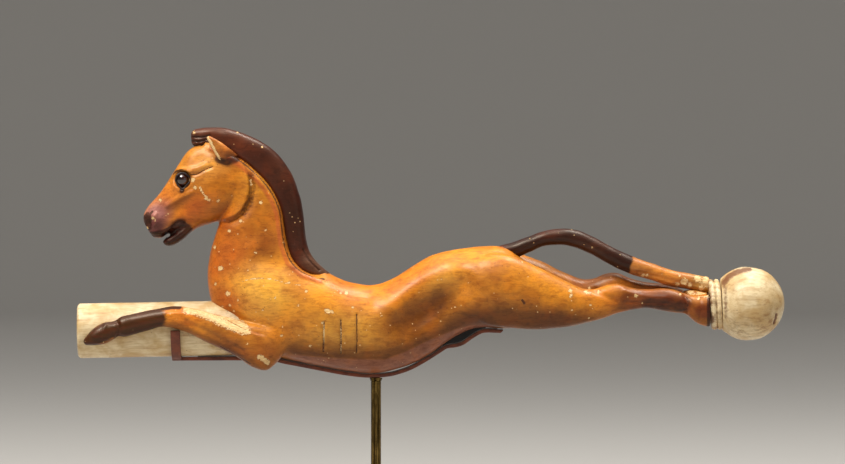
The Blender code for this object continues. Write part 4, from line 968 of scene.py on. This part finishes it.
def paintPiece(obj, look, stainAndShadeStrokes, seed, scores=()):
    skin = Surface(obj)
    colours = patchedColours(skin, look["stain"], look["patches"])
    colours *= (1 + 0.1 * seededWaves(skin.place, 6.0, seed))[:, None] * stainsAndShading["warmth"]
    flakes = [skin.coneAt(x, z, reach) for x, z, reach in look.get("flakes", ())]
    strips = [skin.coneAlong(points, reach) * strength for points, reach, strength in look.get("strips", ())]
    scored = strongest(skin, (skin.coneAlong(points, width) for points, width in scores))
    writePaint(obj.data, {"stain": np.clip(colours, 0, 1), "sooty": stainAndShadeStrokes(skin),
                          "worn": strongest(skin, flakes + strips), "scored": scored})


def addMane():
    bm = bmesh.new()
    loft(bm, rowsOf(crest["sections"]), 24, 4, 2.8)
    obj = fusedObject("mane", bm, 0.24, 3)
    skin = Surface(obj)
    strands = [curvePoints(points) for points in crest["strands"]]
    for points in strands:
        skin.push(skin.fieldAlong(points, 0.42), -0.4, 0.0)
    skin.place += skin.normal * (seededWaves(skin.place, 3.5, 5) * 0.03)[:, None]
    skin.write()
    paintPiece(obj, crest, lambda s: np.full(len(s.place), 0.3), 11, [(points, 0.16) for points in strands])
    return settle(obj, "carved", "figure", "dark_stain", "mane")


ear = {
    # (upper point, lower point, half width, middle's offset)
    "sections": [
        ((-29.4, 47.5), (-32.6, 44.7), 0.8, 2.5), ((-30.9, 48.7), (-33.2, 46.2), 1.0, 3.1),
        ((-32.6, 50.0), (-34.2, 47.9), 0.85, 3.3), ((-34.3, 51.0), (-35.2, 49.7), 0.6, 3.3),
        ((-35.5, 51.6), (-35.9, 51.0), 0.3, 3.25),
    ],
    "frontEdge": curvePoints([(-33.3, 46.6), (-34.2, 48.2), (-35.2, 50.2), (-35.9, 51.3)]),
    "hollow": [(-32.6, 47.2), (-34.2, 49.9)],
    # line along the ear's base, where painted shadow is laid
    "root": [(-33.0, 46.5), (-31.6, 46.0), (-30.0, 46.2)],
    "stain": (178, 108, 60),
    "patches": [
        # the first patch is painted shadow at the ear's base
        (-30.6, 46.9, 2.4, 1.4, -20, 0.9, (120, 66, 42)), (-33.6, 49.6, 1.6, 1.8, 50, 0.6, (204, 134, 80)),
    ],
}
ear["strips"] = [(ear["frontEdge"], 0.34, 1.2)]


def addEar(side):
    bm = bmesh.new()
    loft(bm, rowsOf(ear["sections"], side), 24, 6, 2.2)
    name = "Left" if side < 0 else "Right"
    obj = fusedObject("ear" + name, bm, 0.13, 2)
    skin = Surface(obj)
    skin.place += skin.normal * (skin.fieldAlong(ear["frontEdge"], 0.4) * 0.12)[:, None]
    skin.push(skin.fieldAlong(ear["hollow"], 0.8), -0.15, 0.0)
    skin.write()
    # painted shadow along the ear's base
    paintPiece(obj, ear, lambda s: s.fieldAlong(ear["root"], 1.4) * 0.7, 12)
    return settle(obj, "carved", "figure", "stained_ivory", "ear_" + name.lower())


tail = {
    "sections": [
        ((23.9, 26.7), (25.6, 24.2), 1.3), ((26.3, 28.15), (27.6, 25.3), 1.65),
        ((29.0, 28.9), (30.5, 25.8), 1.7), ((32.4, 30.1), (33.0, 27.0), 1.7),
        ((36.0, 31.35), (36.0, 28.1), 1.7), ((39.6, 31.85), (39.2, 28.3), 1.7),
        ((43.0, 31.4), (42.0, 27.9), 1.75), ((46.5, 30.0), (45.2, 26.6), 1.8),
        ((49.9, 28.1), (48.4, 24.9), 1.85), ((55.0, 25.8), (53.5, 22.4), 1.85),
        ((59.5, 24.2), (58.6, 20.9), 1.8), ((63.1, 23.0), (62.2, 19.6), 1.75),
        ((66.9, 22.25), (66.5, 18.9), 1.7), ((69.5, 21.75), (69.3, 18.3), 1.6),
        ((71.0, 21.5), (71.0, 18.0), 1.5),
    ],
    # (points, reach, push)
    "cuts": [([(56.0, 22.6), (63.0, 20.8), (70.5, 19.6)], 0.7, -0.18),
             ([(26.5, 26.0), (29.0, 26.8), (33.0, 28.2)], 0.6, -0.15)],
    # where the dark length ends, how far that line leans and how much it wanders
    "split": 54.3, "splitHeight": 24.0, "lean": 0.28, "wander": 0.12,
    "dark": (40, 11, 9), "tan": (172, 112, 72), "paleTip": (206, 160, 104), "underside": (120, 70, 44),
    # (x, z, reach, stretch, turn, strength, colour)
    "darkPatches": [
        (26.4, 27.2, 1.8, 1.6, 0, 0.5, (170, 72, 64)), (30, 28, 5, 1.6, 0, 0.5, (48, 22, 20)),
        (47, 29, 6, 1.6, 0, 0.5, (76, 42, 40)), (37, 31.5, 3, 1.6, 0, 0.5, (92, 44, 36)),
    ],
    "tanPatches": [(62.5, 21.8, 5.0, 1.6, 0, 1 / 1.4, (212, 138, 74))],
    "flakes": [
        (56.9, 21.9, 0.35), (57.7, 21.9, 0.32), (65.6, 20.6, 0.7), (66.9, 19.9, 0.5), (68.4, 21.2, 0.8),
        (70.4, 20.6, 1.3), (64.2, 20.0, 0.4), (46.0, 27.8, 0.22), (25.2, 26.9, 0.3), (69.2, 19.2, 0.6),
        (64.6, 21.8, 0.3), (60.8, 22.2, 0.15),
    ],
}


def addTail():
    bm = bmesh.new()
    loft(bm, rowsOf(tail["sections"]), 24, 4, 2.1)
    obj = fusedObject("tailCarving", bm, 0.24, 3)
    skin = Surface(obj)
    for points, reach, push in tail["cuts"]:
        skin.push(skin.fieldAlong(points, reach), push)
    skin.place += skin.normal * (seededWaves(skin.place, 4.0, 8) * 0.035)[:, None]
    skin.write()
    x, z = skin.place[:, 0], skin.place[:, 2]
    edge = tail["split"] + (z - tail["splitHeight"]) * tail["lean"] + tail["wander"] * np.sin(z * 3.1)
    colours = patchedColours(skin, tail["dark"], tail["darkPatches"])
    tan = patchedColours(skin, tail["tan"], tail["tanPatches"])
    tan = blendColour(tan, softEdge((x - 66.0) / 3), tail["paleTip"])
    tan = blendColour(tan, softEdge((20.6 - z) / 1.5) * softEdge((x - 56) / 4) * 0.5, tail["underside"])
    light = softEdge((x - edge) / 0.5 + 0.5)
    colours += (tan - colours) * light[:, None]
    worn = strongest(skin, (skin.coneAt(*flake) for flake in tail["flakes"]))
    paint = {"stain": colours * stainsAndShading["warmth"], "sooty": 0.42 * (1 - light), "worn": worn,
             "scored": np.zeros(len(x))}
    back = faceCentres(obj.data)[0] > edge.mean()
    splitCarving(obj, skin, paint, {"tailUpper": ("tail_upper", "dark_stain", ~back),
                                    "tailLower": ("tail_lower", "stained_ivory", back)})


addMane()
for side in (-1, 1):
    addEar(side)
addTail()
print("mane, ears and tail added")


def addEye(side):
    x, z = eyes["place"]
    name = "Left" if side < 0 else "Right"
    bm = bmesh.new()
    placing = Matrix.Translation((x, side * eyes["deep"], z)) @ Matrix.Rotation(math.pi / 2, 4, "X")
    bmesh.ops.create_uvsphere(bm, u_segments=48, v_segments=24, radius=eyes["radius"], matrix=placing)
    settle(looseObject("eye" + name, bm), "garnet", "figure", "garnet", "eye_" + name.lower())
    bm = bmesh.new()
    turnedMesh(bm, arcPoints((eyes["rimRadius"], 0), eyes["rimWire"], 0, 360, 12), 48)
    # the ring still lies flat: its X runs along the horse, its Y up and its Z outwards
    for v in bm.verts:
        angle = math.atan2(v.co.y, v.co.x)
        drop = max(0, math.cos(angle + math.pi / 2)) ** 6
        corner = max(0, math.cos(angle)) ** 8
        v.co.y -= eyes["rimDrop"] * drop
        v.co.x += eyes["rimCorner"] * corner
        v.co.z += 0.12 * math.sin(3 * angle) - 0.15 * corner
    placing = Matrix(((1, 0, 0, x), (0, 0, side, side * eyes["rimOut"]), (0, 1, 0, z), (0, 0, 0, 1)))
    bmesh.ops.transform(bm, matrix=placing, verts=bm.verts)
    bmesh.ops.recalc_face_normals(bm, faces=bm.faces)
    settle(looseObject("eyeRim" + name, bm), "paste", "figure", "black_paste", "eye_rim_" + name.lower())


for side in (-1, 1):
    addEye(side)
print("eyes added")


handle = {
    "radius": horse["handleRadius"], "length": 39.2, "round": 0.7,
    "tilt": math.radians(1), "back": Vector((-24.3, 0, 10.75)),
    # the line of the leg that shades it
    "foreleg": [(-61, 8.0), (-54, 10.0), (-45, 12.0), (-36, 8.0), (-30, 5.6)],
}
handleAxis = -Vector((math.cos(handle["tilt"]), 0, math.sin(handle["tilt"])))


def addHandle():
    radius, length, rounding = handle["radius"], handle["length"], handle["round"]
    bm = bmesh.new()
    profile = [(0, 0), (2.0, 0), (radius - rounding, 0)]
    profile += arcPoints((radius - rounding, rounding), rounding, -90, 0, 8)[1:]
    steps = 60
    profile += [(radius, rounding + (length - 2 * rounding) * i / steps) for i in range(1, steps)]
    profile += arcPoints((radius - rounding, length - rounding), rounding, 0, 90, 8)
    profile += [(radius * 0.6, length - 0.02), (radius * 0.3, length - 0.04), (0, length - 0.05)]
    turnedMesh(bm, profile, 96, handle["back"], handleAxis)
    obj = looseObject("handleCylinder", bm)
    skin = Surface(obj)
    # turned by hand, so never quite round
    skin.place += skin.normal * (seededWaves(skin.place * (0.35, 1, 1), 6.0, 21) * 0.03 - 0.03)[:, None]
    skin.write()
    x = skin.place[:, 0]
    # darker towards the chest end and at the front rim
    grimeAndShade = softEdge((x + 36) / 9) * 0.55 + softEdge((-62.6 - x) / 0.8) * 0.3
    # painted shade under the foreleg
    underLeg = skin.fieldAlong(handle["foreleg"], 2.6)
    writeValue(obj.data, "grimeAndShade", np.clip(grimeAndShade + underLeg * 0.32, 0, 1))
    return settle(obj, "handleIvory", "figure", "bare_ivory", "handle_cylinder", smoothAngle=50)


knob = {
    "collar": Vector((72.3, 0, 15.65)), "tilt": math.radians(2), "thickness": 2.4, "collarRadius": 5.35,
    "bead": 0.5, "radius": 7.85, "slit": [(84.65, 11.7), (85.0, 12.6), (85.15, 13.6)],
    # (points, reach, strength) brown left in the angle by the collar
    "grimeAndShade": [([(73.9, 20.2), (74.9, 21.6), (76.8, 22.7), (79.4, 23.3)], 1.25, 0.85),
              ([(73.9, 21.0), (74.2, 18.0), (74.3, 13.0)], 0.9, 0.55)],
}
knobAxis = Vector((math.cos(knob["tilt"]), 0, math.sin(knob["tilt"])))


def addCollar():
    half, bead = knob["thickness"] / 2, knob["bead"]
    waist = knob["collarRadius"] - bead
    bm = bmesh.new()
    profile = [(0, -half), (waist * 0.5, -half), (waist, -half)]
    for middle in (-half * 0.5, half * 0.5):
        for step in range(11):
            angle = math.pi * step / 10
            profile.append((waist + bead * math.sin(angle), middle - half * 0.48 * math.cos(angle)))
    profile += [(waist, half), (waist * 0.5, half), (0, half)]
    turnedMesh(bm, profile, 96, knob["collar"], knobAxis)
    obj = looseObject("collarRing", bm)
    skin = Surface(obj)
    uneven = seededWaves(skin.place, 2.6, 31) * 0.07 + seededWaves(skin.place, 1.1, 32) * 0.025
    skin.place += skin.normal * uneven[:, None]
    # the beads were cut a little out of square
    skin.place[:, 0] -= (skin.place[:, 2] - knob["collar"].z) * 0.045
    skin.write()
    groove = np.abs((skin.place - np.array(knob["collar"])) @ np.array(knobAxis))
    # darker in the groove between the beads, near the hoof's foot and on the face towards the hoof
    grimeAndShade = 0.42 - 0.2 * softEdge(groove / 0.5) + seededWaves(skin.place, 3.0, 33) * 0.12
    grimeAndShade += skin.fieldAt(71.4, 12.6, 1.5) * 0.5 + softEdge((72.0 - skin.place[:, 0]) / 1.0) * 0.25
    writeValue(obj.data, "grimeAndShade", np.clip(grimeAndShade, 0, 1))
    return settle(obj, "knobIvory", "figure", "bare_ivory", "collar_ring", smoothAngle=60)


def addKnob():
    radius = knob["radius"]
    seat = knob["collarRadius"] + 0.1
    face = knob["thickness"] / 2 + 0.06
    sink = math.sqrt(radius ** 2 - seat ** 2)
    start = math.degrees(math.atan2(-sink, seat))
    centre = knob["collar"] + knobAxis * (face + sink)
    bm = bmesh.new()
    profile = [(0, -sink), (seat * 0.5, -sink)] + arcPoints((0, 0), radius, start, 90, 70)
    profile[-1] = (0, radius)
    turnedMesh(bm, profile, 128, centre, knobAxis)
    obj = looseObject("knobBall", bm)
    skin = Surface(obj)
    skin.place += skin.normal * (seededWaves(skin.place, 7.0, 41) * 0.05 - 0.05)[:, None]
    slit = skin.fieldAlong(knob["slit"], 0.42) * (skin.place[:, 1] < 0)
    skin.place -= skin.normal * (slit * 0.5)[:, None]
    skin.write()
    brown = [skin.fieldAlong(points, reach) * strength for points, reach, strength in knob["grimeAndShade"]]
    leftSide = strongest(skin, brown + [slit * 1.6]) * softEdge((0.8 - skin.place[:, 1]) / 3.5)
    # painted shade on the lower half of the ball
    paintedShadeUnderBall = softEdge((18.5 - skin.place[:, 2]) / 8.0) * 0.3
    grimeAndShade = strongest(skin, (leftSide, paintedShadeUnderBall, skin.fieldAt(84.6, 13.9, 1.1) * 0.5))
    writeValue(obj.data, "grimeAndShade", np.clip(grimeAndShade, 0, 1.4))
    return settle(obj, "knobIvory", "figure", "bare_ivory", "knob_ball", smoothAngle=50)


addHandle()
addCollar()
addKnob()
print("handle and knob added")


# top is the rail's upper line behind the handle, as (x, z) points; clipReach is in degrees from straight down
cradle = {
    "width": 2.2, "thickness": 0.75, "tip": 0.3, "clipX": -42.4, "clipWidth": 2.0, "clipThickness": 0.75,
    "clipReach": 88, "gap": 0.1, "edge": 0.12,
    "top": [
        (-19.1, 3.7), (-14.8, 2.9), (-11.2, 2.2), (-6.9, 1.4), (-2.9, 0.9), (0.0, 0.85), (2.8, 1.1),
        (5.0, 1.65), (7.2, 2.45), (9.3, 3.55), (11.4, 4.8), (13.5, 6.15), (14.9, 7.0), (16.9, 7.3),
        (18.4, 7.8), (20.1, 9.0), (22.2, 10.2), (23.8, 10.45), (25.2, 10.4), (27.1, 10.35),
    ],
    "liner": (-40.0, 26.0), "linerThickness": 0.18, "padFrom": 14.2, "padTo": 23.4, "padWidth": 2.5,
}


def stripMesh(bm, points, halfWidth, low, high, tipLow=None):
    rings = []
    for i, point in enumerate(points):
        before, after = Vector(points[max(i - 1, 0)]), Vector(points[min(i + 1, len(points) - 1)])
        along = (after - before).normalized()
        up = Vector((-along.y, 0, along.x))
        bottom = low if tipLow is None or i < len(points) - 1 else tipLow
        base = Vector((point[0], 0, point[1]))
        placing = Matrix((Vector((0, halfWidth, 0)), up * (high - bottom) / 2, Vector((along.x, 0, along.y))))
        placing = placing.transposed().to_4x4()
        placing.translation = base + up * (bottom + high) / 2
        turn = Matrix.Rotation(math.radians(45), 4, "Z")
        ring = bmesh.ops.create_circle(bm, segments=4, radius=math.sqrt(2), matrix=placing @ turn)["verts"]
        rings.append(ringEdges(bm, ring))
    joinRings(bm, rings)


def roundEdges(bm, offset, angle=30, segments=3):
    sharp = [e for e in bm.edges if len(e.link_faces) == 2 and e.calc_face_angle() > math.radians(angle)]
    bmesh.ops.bevel(bm, geom=sharp, offset=offset, affect="EDGES", segments=segments, profile=0.5,
                    material=-1, clamp_overlap=True)


def handleMiddle(x):
    return handle["back"] + handleAxis * ((handle["back"].x - x) / math.cos(handle["tilt"]))


def railLine():
    middle = handleMiddle(cradle["clipX"] - 1)
    height = middle.z - handle["radius"] - cradle["gap"]
    front = [(cradle["clipX"] - cradle["clipWidth"] / 2, height), (handle["back"].x, height)]
    return front + cradle["top"]


def addRail():
    line = curvePoints(railLine(), 3)
    bm = bmesh.new()
    stripMesh(bm, line, cradle["width"] / 2, -cradle["thickness"], 0, -cradle["tip"])
    roundEdges(bm, cradle["edge"])
    obj = looseObject("cradleRail", bm)
    settle(obj, "paint", "figure", "cradle_paint", "cradle_rail", smoothAngle=35)
    # grey felt liner on the rail; its pale grey line also stands in for the highlight along the rail's top
    # edge
    start, end = cradle["liner"]
    covered = [p for p in line if start <= p[0] <= end]
    bm = bmesh.new()
    stripMesh(bm, covered, cradle["width"] / 2 + 0.02, 0.02, 0.02 + cradle["linerThickness"])
    roundEdges(bm, 0.05, segments=2)
    liner = looseObject("railLiner", bm)
    settle(liner, "liner", "figure", "grey_felt", "rail_liner", smoothAngle=35)
    return line


def addPad(line):
    # black filling from the liner up into the hollow of the flank, in rows of (x, bottom, top)
    belly = curvePoints(sorted(lower for _, lower, *_ in horse["torso"])[-16:], 4)
    bm = bmesh.new()
    rows = []
    for x in np.linspace(cradle["padFrom"], cradle["padTo"], 13):
        low = np.interp(x, *zip(*line)) + 0.2
        high = np.interp(x, *zip(*belly)) + 0.3
        rows.append((x, low, max(high, low + 0.08)))
    width = cradle["padWidth"]
    outline = [bm.verts.new((x, -width / 2, low)) for x, low, high in rows]
    outline += [bm.verts.new((x, -width / 2, high)) for x, low, high in reversed(rows)]
    face = bm.faces.new(outline)
    lifted = bmesh.ops.extrude_face_region(bm, geom=[face])["geom"]
    bmesh.ops.translate(bm, verts=[v for v in lifted if isinstance(v, bmesh.types.BMVert)], vec=(0, width, 0))
    bmesh.ops.recalc_face_normals(bm, faces=bm.faces)
    roundEdges(bm, 0.03, 50, 2)
    obj = looseObject("flankPad", bm)
    settle(obj, "pad", "figure", "black_felt", "flank_pad", smoothAngle=35)


def addClip(side):
    centre = handleMiddle(cradle["clipX"])
    inner = handle["radius"] + 0.04
    start = math.asin((cradle["width"] / 2 + 0.05) / inner)
    half, outer = cradle["clipWidth"] / 2, inner + cradle["clipThickness"]
    bm = bmesh.new()
    corners = [(-half, inner), (half, inner), (half, outer), (-half, outer)]
    points = [bm.verts.new(centre + handleAxis * along - Vector((0, 0, radius))) for along, radius in corners]
    face = bm.faces.new(points)
    bmesh.ops.rotate(bm, verts=bm.verts, cent=centre, matrix=Matrix.Rotation(side * start, 4, handleAxis))
    bmesh.ops.spin(bm, geom=[face] + face.edges[:] + points, cent=centre, axis=handleAxis,
                   angle=side * (math.radians(cradle["clipReach"]) - start), steps=36)
    bmesh.ops.remove_doubles(bm, verts=bm.verts, dist=1e-3)
    bmesh.ops.recalc_face_normals(bm, faces=bm.faces)
    roundEdges(bm, cradle["edge"])
    name = "Left" if side < 0 else "Right"
    obj = looseObject("clip" + name, bm)
    settle(obj, "paint", "figure", "cradle_paint", "clip_" + name.lower(), smoothAngle=35)


railPath = addRail()
addPad(railPath)
for side in (-1, 1):
    addClip(side)

rod = {"radius": 1.08, "spigot": 0.55, "chamfer": 0.2, "shoulderGap": 0.03, "edge": 0.08, "spigotEdge": 0.15}


def addRod():
    # measured up from the floor
    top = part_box("rod")[1][2] / mm
    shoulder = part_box("thrust_washer")[0][2] / mm - rod["shoulderGap"]
    radius, chamfer, spigot, edge, spigotEdge = (
        rod[key] for key in ("radius", "chamfer", "spigot", "edge", "spigotEdge"))
    steps = 24
    profile = [(0, 0), (radius - chamfer, 0)] + arcPoints((radius - chamfer, chamfer), chamfer, -90, 0, 4)
    profile += [(radius, shoulder * i / steps) for i in range(1, steps)]
    profile += [(radius, shoulder - edge), (radius - edge, shoulder), (spigot, shoulder),
                (spigot, top - spigotEdge), (spigot - spigotEdge, top), (0, top)]
    bm = bmesh.new()
    turnedMesh(bm, profile, 64)
    obj = looseObject("displayRod", bm)
    obj.data.transform(Matrix.Translation((0, 0, -figureZero / mm)))
    settle(obj, "brass", "stand", "brass", "rod", smoothAngle=35)


addRod()
# pieces that are hidden keep their plain shape
hidden = {
    "brass": ("thrust_washer", "pivot_bush"),
    "wood": ("foreleg_pin", "handle_dowel", "hind_dowel_left", "hind_dowel_right", "tail_dowel",
             "knob_dowel"),
}
for finish, nodes in hidden.items():
    for node in nodes:
        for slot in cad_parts[node].material_slots:
            slot.material = finishes[finish]
print("cradle and rod added")


# the floor and the lights are in metres, the view is in millimetres
studio = {
    "flat": 3.2, "sweep": 1.2, "height": 4.2, "paper": (0.36, 0.352, 0.34), "focus": (0.0, 0.0, 0.055),
    "sky": (1.0, 0.94, 0.86), "skyStrength": 0.42,
}
lights = {
    # place, size, watts, colour
    "keyLight": ((-0.35, -0.45, 0.85), (0.42, 0.32), 10.6, (1.0, 0.96, 0.88)),
    "topLight": ((0.25, 0.05, 0.9), (0.35, 0.3), 5.8, (1.0, 0.97, 0.92)),
    "roomLight": ((0.0, 0.0, 4.0), (5.0, 5.0), 80.0, (1.0, 0.98, 0.95)),
    "fillLight": ((0.7, -0.9, 0.35), (0.5, 0.5), 0.5, (1.0, 0.94, 0.86)),
}
view = {"distance": 1200.0, "width": 180.07, "x": 9.91, "z": 31.11, "sensor": 36}


def addFloor():
    # a round pale sheet, flat in the middle and swept up into a wall all round
    flat, sweep, height = studio["flat"], studio["sweep"], studio["height"]
    profile = [(0, 0), (flat / 2, 0)] + arcPoints((flat, sweep), sweep, -90, 0, 16) + [(flat + sweep, height)]
    bm = bmesh.new()
    turnedMesh(bm, profile, 96)
    bmesh.ops.reverse_faces(bm, faces=bm.faces)
    obj = looseObject("floor", bm)
    obj.data.shade_smooth()
    finish = Finish("palePaper")
    finish.set(Base_Color=studio["paper"], Roughness=0.85)
    obj.data.materials.append(finish.material)


def addLight(name, place, size, watts, colour):
    light = bpy.data.lights.new(name, "AREA")
    light.shape = "RECTANGLE"
    light.size, light.size_y = size
    light.energy = watts
    light.color = colour
    obj = bpy.data.objects.new(name, light)
    obj.location = place
    obj.rotation_euler = (Vector(studio["focus"]) - Vector(place)).to_track_quat("-Z", "Y").to_euler()
    bpy.context.scene.collection.objects.link(obj)


def addWorld():
    world = bpy.data.worlds.new("studio")
    world.use_nodes = True
    sky = world.node_tree.nodes["Background"]
    sky.inputs["Color"].default_value = (*studio["sky"], 1)
    sky.inputs["Strength"].default_value = studio["skyStrength"]
    bpy.context.scene.world = world


def addCamera():
    camera = bpy.data.objects.new("camera", bpy.data.cameras.new("camera"))
    camera.data.sensor_width = view["sensor"]
    camera.data.lens = view["sensor"] * view["distance"] / view["width"]
    camera.data.clip_start = 0.05
    camera.location = toWorld @ Vector((view["x"], -view["distance"], view["z"]))
    camera.rotation_euler = (math.pi / 2, 0, 0)
    bpy.context.scene.collection.objects.link(camera)
    bpy.context.scene.camera = camera
    bpy.context.scene.view_settings.view_transform = "Standard"


addFloor()
for name, values in lights.items():
    addLight(name, *values)
addWorld()
addCamera()
print("floor, lights and camera added")
